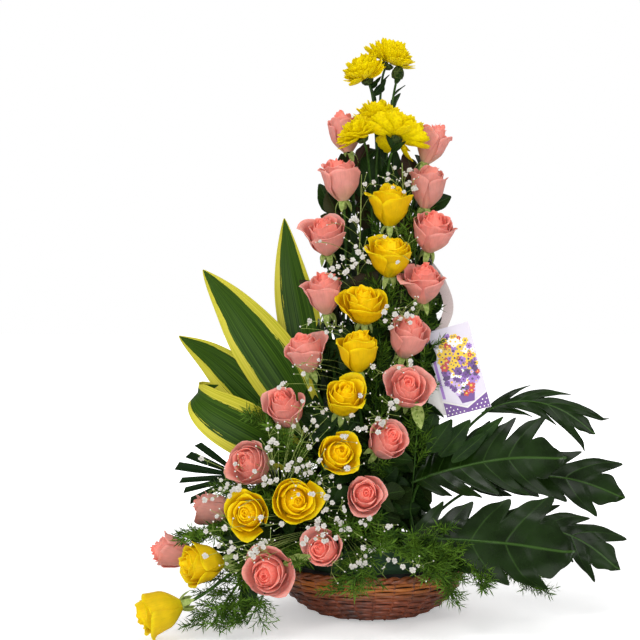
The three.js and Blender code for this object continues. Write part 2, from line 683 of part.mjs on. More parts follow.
function lobedLeaf({ rib, across, half, lobes, slant, neck, root }) {
  const path = new THREE.QuadraticBezierCurve3(...rib);
  const points = [];
  const faces = [];
  const put = (t, x) => {
    const middle = path.getPoint(Math.min(1, Math.max(0, t)));
    const tangent = path.getTangent(Math.min(1, t));
    const side = across.clone().addScaledVector(tangent, -across.dot(tangent)).normalize();
    const face = vec().crossVectors(side, tangent);
    const far = Math.abs(x) / half;
    middle.addScaledVector(side, x).addScaledVector(face, half * (0.16 * far - 0.3 * far * far));
    return points.push(middle.addScaledVector(tangent, Math.max(0, t - 1) * half)) - 1;
  };
  const ribs = Array.from({ length: lobes + 1 }, (_, i) => put(LOBES_FROM + (LOBES_SPAN * i) / lobes, 0));
  const tip = put(1, 0);
  for (const s of [-1, 1]) {
    const add = (a, b, c) => faces.push(s > 0 ? [a, c, b] : [a, b, c]);
    const reach = (t) => half * Math.sin(Math.PI * (0.22 + 0.62 * t));
    const notch = Array.from({ length: lobes + 1 }, (_, i) => {
      const t = LOBES_FROM + (LOBES_SPAN * i) / lobes;
      return put(t, s * reach(t) * neck * (i ? 1 : 0.5));
    });
    for (let i = 0; i < lobes; i++) {
      const step = LOBES_SPAN / lobes;
      const from = LOBES_FROM + step * i;
      const out = reach(from + step / 2);
      const near = put(from + step * (0.2 + slant * 0.55), s * out * 0.66);
      const far = put(from + step * (0.75 + slant * 0.6), s * out * 0.7);
      const end = put(from + step * (0.45 + slant * 1.1), s * out * (i % 2 ? 1 : 0.92));
      add(ribs[i], notch[i], notch[i + 1]);
      add(ribs[i], notch[i + 1], ribs[i + 1]);
      add(notch[i], near, notch[i + 1]);
      add(near, far, notch[i + 1]);
      add(near, end, far);
    }
    const shoulder = put(0.95, s * reach(0.95) * 0.45);
    add(ribs[lobes], notch[lobes], shoulder);
    add(ribs[lobes], shoulder, tip);
  }
  const lean = vec().subVectors(rib[0], vec(root[0], root[1], FOAM_TOP));
  const foot = footing(root[0], root[1], lean, STEM_RADIUS);
  const stem = rise(foot, path.getPoint(0.1), path.getTangent(0), 4, 0.3, 0.3);
  return union([sheet(points, faces, LEAF), stalk(stem, STEM_RADIUS, 4)]);
}

// A palm leaf trimmed to a short fan: one pleated web that parts into strips with square ends
const PALM = { hub: vec(-168, 26, 168), root: [-60, 46], width: 12, web: 26, back: 0.14, edge: 6 };

// Each strip's length, and its bearing in the fan's own plane in degrees
const PALM_STRIPS = [[60, 146], [66, 159], [78, 168], [88, 177], [80, 187], [76, 197], [68, 209]];

function palmFan() {
  const { hub, root, width, web, back, edge } = PALM;
  const lean = vec().subVectors(hub, vec(root[0], root[1], FOAM_TOP));
  const foot = footing(root[0], root[1], lean, STEM_RADIUS);
  const points = [hub.clone()];
  const faces = [];
  const spoke = (bearing, length, aside, fold) => {
    const a = THREE.MathUtils.degToRad(bearing);
    const x = length * Math.cos(a) - aside * Math.sin(a);
    const z = length * Math.sin(a) + aside * Math.cos(a);
    return points.push(hub.clone().add(vec(x, fold - length * back, z))) - 1;
  };
  const between = (i) => {
    const before = PALM_STRIPS[i - 1] ?? [0, PALM_STRIPS[0][1] - 2 * edge];
    const after = PALM_STRIPS[i] ?? [0, PALM_STRIPS.at(-1)[1] + 2 * edge];
    return spoke((before[1] + after[1]) / 2, web, 0, 2);
  };
  let last = between(0);
  PALM_STRIPS.forEach(([length, bearing], i) => {
    const next = between(i + 1);
    const fold = spoke(bearing, web, 0, -2);
    const [a, b, c] = [-1, 0, 1].map((u) => spoke(bearing, length, (u * width) / 2, u ? 1.5 : -1.5));
    faces.push([0, last, fold], [0, fold, next]);
    faces.push([last, a, b], [last, b, fold], [fold, b, c], [fold, c, next]);
    last = next;
  });
  const stem = rise(foot, hub.clone().add(vec(-6, 0, 0)), vec(-1, 0, 0.2), 4, 0.3, 0.3);
  return union([sheet(points, faces, LEAF), stalk(stem, STEM_RADIUS, 4)]);
}

// Sprays: side shoots grow from a main stalk in seeded directions, each where it finds room
const SPRAY_STEPS = 5;
const THREAD = 0.5;

// What a main stalk is moved by, in turn, until it runs clear
const SHIFTS = [0, 6, 12, 18].flatMap((d) => [
  [d, 0, 0], [-d, 0, 0], [0, -d, 0], [0, d, 0], [d, -d, 0], [-d, -d, 0], [0, 0, d], [0, -d, d], [0, 0, -d],
]);

function spray({ main, root, radius, shoots, from, tries, seed, aim, shoot }) {
  const random = randomFrom(seed);
  const lean = vec().subVectors(main[0], vec(root[0], root[1], FOAM_TOP));
  const foot = footing(root[0], root[1], lean, radius);
  const exit = foot.point.clone().addScaledVector(foot.direction, 4);
  let path;
  let stem;
  for (const [x, y, z] of SHIFTS) {
    const shift = (i) => vec(x, y, z).multiplyScalar(i ? 1 : 0.4);
    path = new THREE.CatmullRomCurve3(main.map((p, i) => p.clone().add(shift(i))));
    stem = stalk([foot.foot, exit, ...path.getSpacedPoints(SPRAY_STEPS)], radius, 3);
    if (isClear(stem)) break;
  }
  const grown = [];
  for (let i = 0; i < shoots; i++) {
    const t = from + ((1 - from) * (i + 0.5)) / shoots;
    for (let n = 0; n < tries; n++) {
      const out = aim(random, i, path.getTangentAt(t));
      const piece = shoot(path.getPointAt(t), out, random, 1 - 0.5 * (n / tries));
      const roomy = grown.every((other) => piece.minGap(other, 1) > CLEARANCE / 2);
      if (roomy && piece.boundingBox().min[2] > TABLE_GAP && isClear(piece)) {
        grown.push(piece);
        break;
      }
    }
  }
  return union([stem, ...grown]);
}

// Baby's breath: forked threads with a small white floret at each end
const FLORET = 5.6;
const FLORET_SIDES = 4;

function floret(from, to, size) {
  const along = vec().subVectors(to, from);
  const length = along.length();
  const rings = [[THREAD, 0], [THREAD, length - size * 0.7], [size, length]];
  const points = rings.flatMap(([r, z]) =>
    Array.from({ length: FLORET_SIDES }, (_, i) => {
      const a = (2 * Math.PI * i) / FLORET_SIDES;
      return vec(r * Math.cos(a), r * Math.sin(a), z + (i % 2 && r > THREAD ? size * 0.3 : 0));
    }),
  );
  const foot = points.push(vec(0, 0, 0)) - 1;
  const top = points.push(vec(0, 0, length + size * 0.5)) - 1;
  return moved(ringed(points, rings.length, FLORET_SIDES, foot, top), aimed(from, along));
}

function floretShoot(point, out, random, size) {
  const length = size * (20 + 20 * random());
  const end = point.clone().addScaledVector(out, length);
  const fork = point.clone().addScaledVector(out, length * 0.4);
  const side = vec(random() - 0.5, random() - 0.5, random() - 0.2).normalize();
  const aside = fork.clone().addScaledVector(out, length * 0.35).addScaledVector(side, length * 0.5);
  const sizes = [0, 1].map(() => FLORET * (0.8 + 0.5 * random()));
  return union([floret(point, end, sizes[0]), floret(fork, aside, sizes[1])]);
}

const BREATH_RADIUS = 1.4;
const BREATH_TRIES = 16;
const BABYS_BREATH = {
  left: {
    main: [vec(-14, -6, 130), vec(-22, -20, 260), vec(-20, -30, 380), vec(-14, -26, 480), vec(-12, -20, 560)],
    root: [-16, 4], seed: 5, shoots: 14, from: 0.16,
  },
  right: {
    main: [vec(18, -6, 130), vec(28, -28, 250), vec(40, -36, 360), vec(48, -30, 460), vec(46, -26, 575)],
    root: [16, 0], seed: 8, shoots: 14, from: 0.16,
  },
  low: {
    main: [vec(-44, -50, 110), vec(-76, -84, 140), vec(-110, -96, 172), vec(-150, -84, 168)],
    root: [-10, -40], seed: 3, shoots: 13, from: 0.08,
  },
};

function aimBreath(random, i, along) {
  const a = -Math.PI / 2 + (i % 2 ? 1 : -1) * (0.2 + 1.5 * random());
  return vec(Math.cos(a), Math.sin(a), 0.3 + 0.8 * random()).addScaledVector(along, 0.3).normalize();
}

// Asparagus: arching stems whose side shoots carry two rows of soft needles, in a shallow V
const NEEDLE_ROWS = 5;
const NEEDLE = 12;
const NEEDLE_THICKNESS = 0.8;

function needleShoot(point, out, random, size) {
  const length = size * (24 + 16 * random());
  const points = [];
  const faces = [];
  const put = (x, y, z) => points.push(vec(x, y, z)) - 1;
  const rails = Array.from({ length: NEEDLE_ROWS + 1 }, (_, i) => {
    const z = (length * i) / NEEDLE_ROWS;
    return [put(-THREAD, 0, z), put(THREAD, 0, z)];
  });
  for (let i = 0; i < NEEDLE_ROWS; i++) {
    const [[a, b], [c, d]] = [rails[i], rails[i + 1]];
    const z = (length * (i + 0.8)) / NEEDLE_ROWS + NEEDLE * 0.55;
    const lift = NEEDLE * 0.35 * (random() + (i % 2));
    const reach = NEEDLE * (0.8 + 0.3 * random()) * (i ? 1 : 0.5);
    faces.push([a, b, d], [a, d, c]);
    if (i) faces.push([a, c, put(-reach, lift, z)], [b, put(reach, lift, z), d]);
  }
  return moved(sheet(points, faces, NEEDLE_THICKNESS), aimed(point, out, 6 * random()));
}

const FERN_RADIUS = 1.5;
const FERN_TRIES = 8;
const ASPARAGUS = {
  left: {
    main: [vec(-84, -84, 112), vec(-138, -98, 98), vec(-168, -120, 62), vec(-192, -160, 28)],
    root: [-46, -52], seed: 21, shoots: 9, from: 0.2,
  },
  front: {
    main: [vec(26, -92, 108), vec(10, -130, 106), vec(-14, -150, 84), vec(-30, -158, 58)],
    root: [26, -70], seed: 22, shoots: 8, from: 0.15,
  },
  right: {
    main: [vec(76, -44, 100), vec(108, -66, 96), vec(150, -72, 72), vec(200, -82, 44)],
    root: [60, -36], seed: 23, shoots: 8, from: 0.3,
  },
};

function aimNeedles(random, i, along) {
  const side = vec().crossVectors(along, UP).normalize();
  const up = vec().crossVectors(side, along);
  const a = (i % 2 ? 1 : -1) * (0.4 + 0.9 * random());
  side.multiplyScalar(Math.sin(a)).addScaledVector(up, 0.5 * random());
  return side.addScaledVector(along, 0.9).normalize();
}

// The greeting card: a folded card whose short front ends in a point, above the longer back
const CARD = { width: 58, height: 112, back: 1, front: 0.9, band: 22, point: 14 };
const CARD_PLACE = { corner: vec(97, -30, 249), right: vec(166, -40, 268), top: vec(79, -20, 362) };
const SHEET = { width: 48, height: 100, thickness: 0.8, aside: -27.4, lift: 8, turn: -0.16 };
const RESTING_GAP = 0.3;

// A matrix whose X runs from corner to right, Y up the card and Z out of its front
function onCard({ corner, right, top }) {
  const x = vec().subVectors(right, corner).normalize();
  const y = vec().subVectors(top, corner);
  y.addScaledVector(x, -x.dot(y)).normalize();
  const z = vec().crossVectors(x, y);
  return new THREE.Matrix4().makeBasis(x, y, z).setPosition(corner);
}

function slab(outline, thickness, lift = 0) {
  const shape = new THREE.Shape(outline.map(([x, y]) => new THREE.Vector2(x, y)));
  const geometry = new THREE.ExtrudeGeometry(shape, { depth: thickness, bevelEnabled: false });
  return asSolid(geometry.translate(0, 0, lift));
}

function greetingCard() {
  const { width, height, back, front, band, point } = CARD;
  const whole = slab([[0, 0], [width, 0], [width, height], [0, height]], back);
  const edge = [[0, band], [width / 2, band - point], [width, band], [width, height], [0, height]];
  const cover = slab(edge, front, back);
  return moved(union([whole, cover]), onCard(CARD_PLACE));
}

function messageSheet() {
  const { width, height, thickness, aside, lift, turn } = SHEET;
  const behind = new THREE.Matrix4().makeTranslation(aside, lift, -thickness - RESTING_GAP);
  const place = onCard(CARD_PLACE).multiply(behind).multiply(new THREE.Matrix4().makeRotationZ(turn));
  return moved(slab([[0, 0], [width, 0], [width, height], [0, height]], thickness), place);
}

// The ribbon: it hangs from the right-hand stems, with its lower end behind the message sheet. tuck:
// where that end lies, across the card and up it.
const RIBBON = {
  line: [vec(50, -2.9, 486), vec(57, 2.1, 466), vec(76, 14, 448), vec(94, 4, 420), vec(101, -8, 388)],
  tuck: [[16, 104], [10, 88]],
  width: 13,
  thickness: 0.8,
};

function ribbonStrip() {
  const place = onCard(CARD_PLACE);
  const { line, tuck, width, thickness } = RIBBON;
  const back = -SHEET.thickness - 3 * RESTING_GAP - thickness / 2;
  const ends = tuck.map(([x, y]) => vec(x, y, back).applyMatrix4(place));
  const face = vec().setFromMatrixColumn(place, 2);
  const path = new THREE.CatmullRomCurve3([...line, ...ends]);
  return blade(
    1,
    12,
    (u, v) => {
      const side = vec().crossVectors(path.getTangentAt(v), face).normalize();
      return path.getPointAt(v).addScaledVector(side, (u * width) / 2);
    },
    thickness,
  );
}

// The basket and the blooms come first, and everything else grows clear of them
addNode("basket", wovenBasket(), MATERIALS.willow);
addNode("liner", linerShell(), MATERIALS.liner);

for (const [i, rose] of ROSES.entries())
  addNode(
    `rose_${rose.colour}_${String(i + 1).padStart(2, "0")}`,
    moved(roseBloom(rose), aimed(rose.base, rose.axis)),
    MATERIALS[rose.colour],
  );

for (const [name, head] of Object.entries(DAISIES)) {
  const heads = head.map((one) => moved(daisyHead(one), aimed(one.base, one.axis)));
  addNode(`chrysanthemum_${name}`, union(heads), MATERIALS.daisy);
}

for (const [name, leaf] of Object.entries(STRIPED_LEAVES)) {
  addNode(`striped_leaf_${name}`, stripedLeaf(leaf), MATERIALS.striped);
}

for (const [name, leaf] of Object.entries(LOBED_LEAVES)) {
  addNode(`lobed_leaf_${name}`, lobedLeaf(leaf), MATERIALS.lobed);
}

addNode("palm_fan", palmFan(), MATERIALS.palm);
addNode("greeting_card", greetingCard(), MATERIALS.card);
addNode("message_sheet", messageSheet(), MATERIALS.envelope);
addNode("ribbon", ribbonStrip(), MATERIALS.ribbon);

addNode("chrysanthemum_stems", daisyStems(), MATERIALS.stem);

for (const [group, { x, y, lean, low = 0.6 }] of Object.entries(BUNDLES)) {
  const root = footing(x, y, lean, BUNDLE_RADIUS);
  const top = root.point.clone().addScaledVector(root.direction, STALK_TOP);
  const parts = [stalk([root.foot, top], BUNDLE_RADIUS, 6)];
  const stems = ROSES.filter((rose) => rose.group === group).sort((a, b) => b.base.z - a.base.z);
  const paths = stems.map((rose, i) => {
    const a = Math.PI / 2 + ((i % 2 ? 1 : -1) * Math.ceil(i / 2) * 2 * Math.PI) / stems.length;
    const aside = vec(Math.cos(a), Math.sin(a), 0).multiplyScalar(BUNDLE_RADIUS * BUNDLE_SPREAD);
    const end = rose.base.clone().addScaledVector(rose.axis, -8);
    return rise(root, end, rose.axis, STEM_STEPS, low, 0.22, aside);
  });
  stems.forEach((rose, i) => {
    paths[i][0].copy(root.point).addScaledVector(root.direction, -4);
    parts.push(stalk(paths[i], STEM_RADIUS, STEM_SIDES), roseCalyx(rose));
  });
  for (const [owner, stem, along, bearing, lift, size, twist] of ROSE_LEAVES) {
    if (owner !== group) continue;
    const from = new Run(paths[stem]).getPoint(along);
    for (const [share, turn] of LEAF_TRIES) {
      const leaf = roseLeaf(from, facing(bearing + turn, lift), size * share, twist);
      if (!isClear(leaf)) continue;
      parts.push(leaf);
      break;
    }
  }
  addNode(`rose_stems_${group}`, union(parts), MATERIALS.stem);
}

for (const [name, one] of Object.entries(ASPARAGUS)) {
  const habit = { radius: FERN_RADIUS, tries: FERN_TRIES, aim: aimNeedles, shoot: needleShoot };
  addNode(`asparagus_${name}`, spray({ ...one, ...habit }), MATERIALS.fern);
}

for (const [name, one] of Object.entries(BABYS_BREATH)) {
  const habit = { radius: BREATH_RADIUS, tries: BREATH_TRIES, aim: aimBreath, shoot: floretShoot };
  addNode(`babys_breath_${name}`, spray({ ...one, ...habit }), MATERIALS.gypsophila);
}

addNode("foam", foamBlock(holes), MATERIALS.foam);

export default arrangement;
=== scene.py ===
# %% [markdown]
# # A tall basket of roses, dressed over its solid model
#
# The solid model of the arrangement is already packed: sixty closed bodies in one shared frame, with +Z up
# and the viewer on the -Y side. Here each body gets the finer form and the finish of the real thing: petals
# with rolled lips, leaflets with teeth, needles, florets, woven rods. Every piece stays where its solid is.

# %% Load the packed basket and keep its box
import functools
import math
import random

import bpy
import numpy as np
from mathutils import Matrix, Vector


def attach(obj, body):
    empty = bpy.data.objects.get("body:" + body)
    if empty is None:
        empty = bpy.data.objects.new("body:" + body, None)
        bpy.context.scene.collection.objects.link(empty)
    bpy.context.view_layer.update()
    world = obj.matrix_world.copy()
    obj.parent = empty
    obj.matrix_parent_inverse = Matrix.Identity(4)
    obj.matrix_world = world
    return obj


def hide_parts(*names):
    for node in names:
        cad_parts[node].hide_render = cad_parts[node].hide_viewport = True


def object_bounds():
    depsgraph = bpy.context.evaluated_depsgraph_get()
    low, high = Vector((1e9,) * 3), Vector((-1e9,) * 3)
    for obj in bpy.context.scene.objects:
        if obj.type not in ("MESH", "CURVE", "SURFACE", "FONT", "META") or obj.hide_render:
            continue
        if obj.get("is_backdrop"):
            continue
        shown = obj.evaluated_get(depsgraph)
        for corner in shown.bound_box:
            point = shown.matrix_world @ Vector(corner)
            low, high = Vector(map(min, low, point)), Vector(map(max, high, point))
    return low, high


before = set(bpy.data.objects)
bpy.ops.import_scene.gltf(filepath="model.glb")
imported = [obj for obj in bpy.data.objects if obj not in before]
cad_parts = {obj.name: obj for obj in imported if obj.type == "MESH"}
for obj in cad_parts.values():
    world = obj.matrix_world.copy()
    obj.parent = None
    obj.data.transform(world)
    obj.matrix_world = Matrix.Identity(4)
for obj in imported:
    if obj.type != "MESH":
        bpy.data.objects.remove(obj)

cad_box = [list(corner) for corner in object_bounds()]
MM = 0.001
print("solid bodies:", len(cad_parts), "box in metres:", cad_box)

# %% [markdown]
# ## Colours, nodes and materials
#
# Every material is a small graph of nodes. One function makes a colour from its code, one adds a node, and
# a class gives short names to the nodes that come back again and again.

# %% One function for colours, and one for nodes
def linear(code):
    """The linear colour of an sRGB hex code such as #f0928f."""
    parts = [int(code[i : i + 2], 16) / 255 for i in (1, 3, 5)]
    return [c / 12.92 if c <= 0.04045 else ((c + 0.055) / 1.055) ** 2.4 for c in parts] + [1.0]


def fill(tree, node, inputs):
    """Fills a node's inputs with numbers, links, or colours as hex codes."""
    for key, value in inputs.items():
        if isinstance(value, bpy.types.NodeSocket):
            tree.links.new(value, node.inputs[key])
        else:
            is_code = isinstance(value, str) and value.startswith("#")
            node.inputs[key].default_value = linear(value) if is_code else value


def add(tree, kind, inputs=None, **settings):
    """Adds a node, sets it up and fills its inputs."""
    node = tree.nodes.new(kind)
    for key, value in settings.items():
        setattr(node, key, value)
    fill(tree, node, inputs or {})
    return node


def stand(name, data):
    """A new object in the scene, at the origin and unturned."""
    made = bpy.data.objects.new(name, data)
    bpy.context.scene.collection.objects.link(made)
    return made


print("linear salmon:", [round(c, 3) for c in linear("#f0928f")])

# %% Short names for the nodes of a graph, and for a material
class Graph:
    """Each method adds one node to a tree and returns the output that is used."""

    def __init__(self, tree):
        self.tree = tree

    def one(self, kind, inputs=None, output=0, **settings):
        return add(self.tree, kind, inputs, **settings).outputs[output]

    def math(self, operation, *values):
        return self.one("ShaderNodeMath", dict(enumerate(values)), operation=operation)

    def span(self, value, start, end, low, high):
        """Carries a value from one span to another, and holds it at the ends."""
        ends = {"From Min": start, "From Max": end, "To Min": low, "To Max": high}
        return self.one("ShaderNodeMapRange", {"Value": value, **ends})

    def mix(self, share, first, second, **settings):
        inputs = {0: share, 6: first, 7: second}
        return self.one("ShaderNodeMix", inputs, 2, data_type="RGBA", **settings)

    def noise(self, place, scale, detail, **more):
        return self.one("ShaderNodeTexNoise", {"Vector": place, "Scale": scale, "Detail": detail, **more})

    def stretch(self, place, scale):
        return self.one("ShaderNodeMapping", {"Vector": place, "Scale": scale})

    def ramp(self, value, *stops):
        """Colours between stops, each of them a position and a hex code."""
        node = add(self.tree, "ShaderNodeValToRGB", {0: value})
        elements = node.color_ramp.elements
        for i, (position, code) in enumerate((stops[0], stops[-1])):
            elements[i].position, elements[i].color = position, linear(code)
        for position, code in stops[1:-1]:
            elements.new(position).color = linear(code)
        return node.outputs[0]

    def bump(self, height, strength, depth, **settings):
        """A relief, with its depth in metres."""
        inputs = {"Strength": strength, "Distance": depth, "Height": height}
        return self.one("ShaderNodeBump", inputs, **settings)

    def chance(self, least, most, seed):
        """A number by chance between two bounds, another one for each copy."""
        return self.one("FunctionNodeRandomValue", {2: least, 3: most, "Seed": seed}, 1, data_type="FLOAT")

    def copies(self, points, model, rotation, scale):
        copied = self.one("GeometryNodeObjectInfo", {"Object": model, "As Instance": True}, "Geometry")
        return self.one("GeometryNodeInstanceOnPoints", {
            "Points": points, "Instance": copied, "Rotation": rotation, "Scale": scale})

    def place(self):
        return self.one("ShaderNodeTexCoord", output="Object")

    def uv(self):
        return self.one("ShaderNodeUVMap", uv_map="UVMap")

    def mark(self, name):
        return self.one("ShaderNodeAttribute", output="Fac", attribute_name=name)


class Finish(Graph):
    """The material of one real stuff."""

    def __init__(self, name, looks=None):
        self.material = bpy.data.materials.new(name)
        self.material.use_nodes = True
        super().__init__(self.material.node_tree)
        self.look(looks or {})

    def look(self, inputs):
        fill(self.tree, self.tree.nodes["Principled BSDF"], inputs)


def grained(name, low, high, scale, looks, detail=2.0, on_uv=False, relief=None):
    """A material between two colours that follow one noise, each given as a position and a hex code.

    The scale is a number, or three of them where the grain is drawn out along the stuff."""
    stuff = Finish(name)
    place = stuff.uv() if on_uv else stuff.place()
    if isinstance(scale, tuple):
        place, scale = stuff.stretch(place, scale), 1.0
    grain = stuff.noise(place, scale, detail)
    stuff.look({"Base Color": stuff.ramp(grain, low, high), **looks})
    if relief:
        stuff.look({"Normal": stuff.bump(grain, *relief)})
    return stuff


print("short names for nodes:", [name for name in vars(Graph) if name[0] != "_"])

# %% [markdown]
# ## The camera, the floor and the light
#
# The photograph was taken about a metre and a half away, level with the middle of the flowers. One unit of
# the picture, a pixel, is then about 1.3 mm at the blooms. The studio is a white floor under a white sky:
# the sky lights the flowers softly from everywhere, and five large lamps and cards give them form.

# %% Stand the camera where the photograph was taken
EYE = (-65, -1600, 374)
FOCAL_PIXELS = 1231
PICTURE = 640
SENSOR = 36

eye = bpy.data.cameras.new("eye")
eye.sensor_width = SENSOR
eye.lens = FOCAL_PIXELS * SENSOR / PICTURE
eye.clip_end = 30
camera = stand("eye", eye)
camera.location = [c * MM for c in EYE]
camera.rotation_euler = (math.pi / 2, 0, 0)
bpy.context.scene.camera = camera
bpy.context.scene.view_settings.view_transform = "Standard"
print("lens in mm:", round(eye.lens, 1))

# %% Light the studio
SKY_LIGHT, SKY_SEEN = 0.42, 1.0  # the sky's strength where it lights the flowers, and behind them
WHITE = (1, 1, 1, 1)
world = bpy.data.worlds.new("white studio")
world.use_nodes = True
sky = Graph(world.node_tree)
sky.tree.nodes.clear()
strength = sky.span(sky.one("ShaderNodeLightPath", output="Is Camera Ray"), 0, 1, SKY_LIGHT, SKY_SEEN)
glow = sky.one("ShaderNodeBackground", {"Color": WHITE, "Strength": strength})
add(sky.tree, "ShaderNodeOutputWorld", {"Surface": glow})
bpy.context.scene.world = world

# name, place and width in metres, power in watts
LAMPS = [
    ("window_left", (-1.5, -2.2, 1.9), 1.1, 27),
    ("window_right", (1.6, -1.9, 1.5), 1.4, 15),
    ("ceiling", (0.0, -0.3, 2.6), 1.6, 13),
    ("front_card", (-0.2, -2.8, 0.42), 1.8, 36),
    ("back_card", (0.6, 2.6, 1.3), 1.8, 16),
]
LAMP_AIM = Vector((-0.03, -0.05, 0.34))
for name, place, width, power in LAMPS:
    light = bpy.data.lights.new(name, "AREA")
    light.shape, light.size, light.energy = "DISK", width, power
    lamp = stand(name, light)
    lamp.location = place
    lamp.rotation_euler = (LAMP_AIM - Vector(place)).to_track_quat("-Z", "Y").to_euler()

# The floor is white paper. Seen directly it glows faintly, and more with distance, so that it meets the sky.
FLOOR_REACH = 60.0
corners = [(x * FLOOR_REACH, y * FLOOR_REACH, 0) for x, y in ((-1, -1), (1, -1), (1, 1), (-1, 1))]
floor_mesh = bpy.data.meshes.new("floor")
floor_mesh.from_pydata(corners, [], [(0, 1, 2, 3)])
paper = Finish("white studio paper")
far = paper.one("ShaderNodeVectorMath", {0: paper.place()}, "Value", operation="LENGTH")
seen = paper.one("ShaderNodeLightPath", output="Is Camera Ray")
glow = paper.math("MULTIPLY", paper.span(far, 0.35, 1.3, 0.36, 1.0), seen)
paper.look({"Base Color": (0.95, 0.95, 0.95, 1), "Roughness": 0.9,
            "Emission Color": WHITE, "Emission Strength": glow})
floor_mesh.materials.append(paper.material)
floor = stand("floor", floor_mesh)
floor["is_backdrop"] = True
print("lamps:", len(LAMPS))

# %% [markdown]
# ## Gathering a piece
#
# Plants are made of thin skins, so most pieces are built from grids of points: one grid for a petal, one for
# a leaflet. A grid is given its thickness here, so that every skin is a closed body. Two numbers are kept at
# each point for the materials to read, besides its place across and along the skin.

# %% A shape gathers skins and tubes before it becomes a mesh
class Shape:
    """Points in millimetres and faces of one piece, with two marks at each point for its materials."""

    def __init__(self):
        self.points, self.uv, self.marks, self.faces, self.finishes = [], [], [], [], []
        self.count = 0

    def add(self, points, faces, uv=None, marks=(0, 0), finish=0):
        points = np.asarray(points, float).reshape(-1, 3)
        self.points.append(points)
        self.uv.append(np.zeros((len(points), 2)) if uv is None else uv)
        self.marks.append(np.broadcast_to(np.asarray(marks, float), (len(points), 2)))
        self.faces += [tuple(i + self.count for i in face) for face in faces]
        self.finishes += [finish] * len(faces)
        self.count += len(points)

    def skin(self, grid, thickness, marks=(0, 0), finish=0):
        """Adds a grid of points, rows by columns, as a closed skin about that surface."""
        rows, columns = grid.shape[:2]
        normal = np.cross(np.gradient(grid, axis=1), np.gradient(grid, axis=0))
        normal /= np.maximum(np.linalg.norm(normal, axis=2, keepdims=True), 1e-9)
        sides = [grid + normal * (thickness / 2), grid - normal * (thickness / 2)]
        u, v = np.meshgrid(np.linspace(0, 1, columns), np.linspace(0, 1, rows))
        uv = np.tile(np.stack([u, v], axis=2).reshape(-1, 2), (2, 1))
        if np.ndim(marks) == 3:
            marks = np.tile(marks.reshape(-1, 2), (2, 1))
        self.add(sides, skin_faces(rows, columns), uv, marks, finish)


@functools.cache
def skin_faces(rows, columns):
    """The faces of a closed skin over a grid: two sides and a rim."""
    under = rows * columns
    corners = [r * columns + c for r in range(rows - 1) for c in range(columns - 1)]
    top = [(a, a + 1, a + columns + 1, a + columns) for a in corners]
    bottom = [tuple(i + under for i in reversed(face)) for face in top]
    edge = [*range(columns), *range(2 * columns - 1, under, columns),
            *range(under - 2, under - columns - 1, -1), *range(under - 2 * columns, 0, -columns)]
    rim = [(b, a, a + under, b + under) for a, b in zip(edge, edge[1:] + edge[:1])]
    return top + bottom + rim


def across_along(rows, columns):
    """The places of a grid's points: across from -1 to 1, and along from 0 to 1."""
    return np.linspace(-1, 1, columns)[None, :], np.linspace(0, 1, rows)[:, None]


def around(angle):
    """The level direction at an angle in radians."""
    return np.array([math.cos(angle), math.sin(angle), 0])


def unit(vectors):
    """A vector, or each vector of a grid, made of length one."""
    axis = None if np.ndim(vectors) == 1 else -1
    return vectors / np.linalg.norm(vectors, axis=axis, keepdims=True)


def arc(a, b, c, t):
    """Points at shares of a curve from a to c that bends towards b."""
    return (1 - t) ** 2 * a + 2 * t * (1 - t) * b + t**2 * c


def turned_body(profile, foot, top, count):
    """Points and faces of a body turned about Z, from (radius, level) pairs and the levels of its ends."""
    angles = [2 * math.pi * i / count for i in range(count)]
    points = [(r * math.cos(a), r * math.sin(a), z) for r, z in profile for a in angles]
    steps = [(i, (i + 1) % count) for i in range(count)]
    faces = [(j + i, j + k, j + count + k, j + count + i)
             for j in range(0, len(points) - count, count) for i, k in steps]
    last = len(points) - count
    for i, k in steps:
        faces += [(len(points), k, i), (last + i, last + k, len(points) + 1)]
    return points + [(0, 0, foot), (0, 0, top)], faces


UP = Vector((0, 0, 1))


def put(points, base, axis, twist=0.0):
    """Points modelled about +Z, carried to a base point and an axis."""
    turn = np.array(UP.rotation_difference(Vector(axis).normalized()).to_matrix())
    c, s = math.cos(twist), math.sin(twist)
    spin = np.array([[c, -s, 0], [s, c, 0], [0, 0, 1]])
    points = np.asarray(points, float)
    return (points.reshape(-1, 3) @ (turn @ spin).T + np.asarray(base, float)).reshape(points.shape)


SHARP_EDGE = math.radians(60)
added_triangles = {}


def finished(shape, name, slot, finishes, *nodes):
    """Turns a gathered shape into a piece that stands for CAD nodes and rides with the basket."""
    mesh = bpy.data.meshes.new(name)
    mesh.from_pydata((np.concatenate(shape.points) * MM).tolist(), [], shape.faces)
    for finish in finishes:
        mesh.materials.append(finish.material)
    mesh.polygons.foreach_set("material_index", shape.finishes)
    mesh.polygons.foreach_set("use_smooth", [True] * len(mesh.polygons))
    corners = np.empty(len(mesh.loops), dtype=np.int32)
    mesh.loops.foreach_get("vertex_index", corners)
    uv = mesh.uv_layers.new(name="UVMap")
    uv.data.foreach_set("uv", np.concatenate(shape.uv)[corners].astype(np.float32).ravel())
    for title, values in zip(("depth", "tone"), np.concatenate(shape.marks).T):
        mark = mesh.attributes.new(title, "FLOAT", "POINT")
        mark.data.foreach_set("value", values.astype(np.float32))
    mesh.set_sharp_from_angle(angle=SHARP_EDGE)
    mesh.update()
    made = stand(name, mesh)
    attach(made, "root")
    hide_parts(*nodes)
    added_triangles[name] = sum(len(face) - 2 for face in shape.faces)
    return made


print("faces of a skin of 3 by 3 points:", len(skin_faces(3, 3)))

# %% [markdown]
# ## Trees of nodes that grow along paths
#
# Stems, threads and rods all follow a path, so one tree makes them: it turns a line of points into a curve
# and sweeps a round section along it, as thick as the line says. Needles and florets repeat along a path or
# at its end, so a second tree sets a copy at each place. Both end in plain meshes.

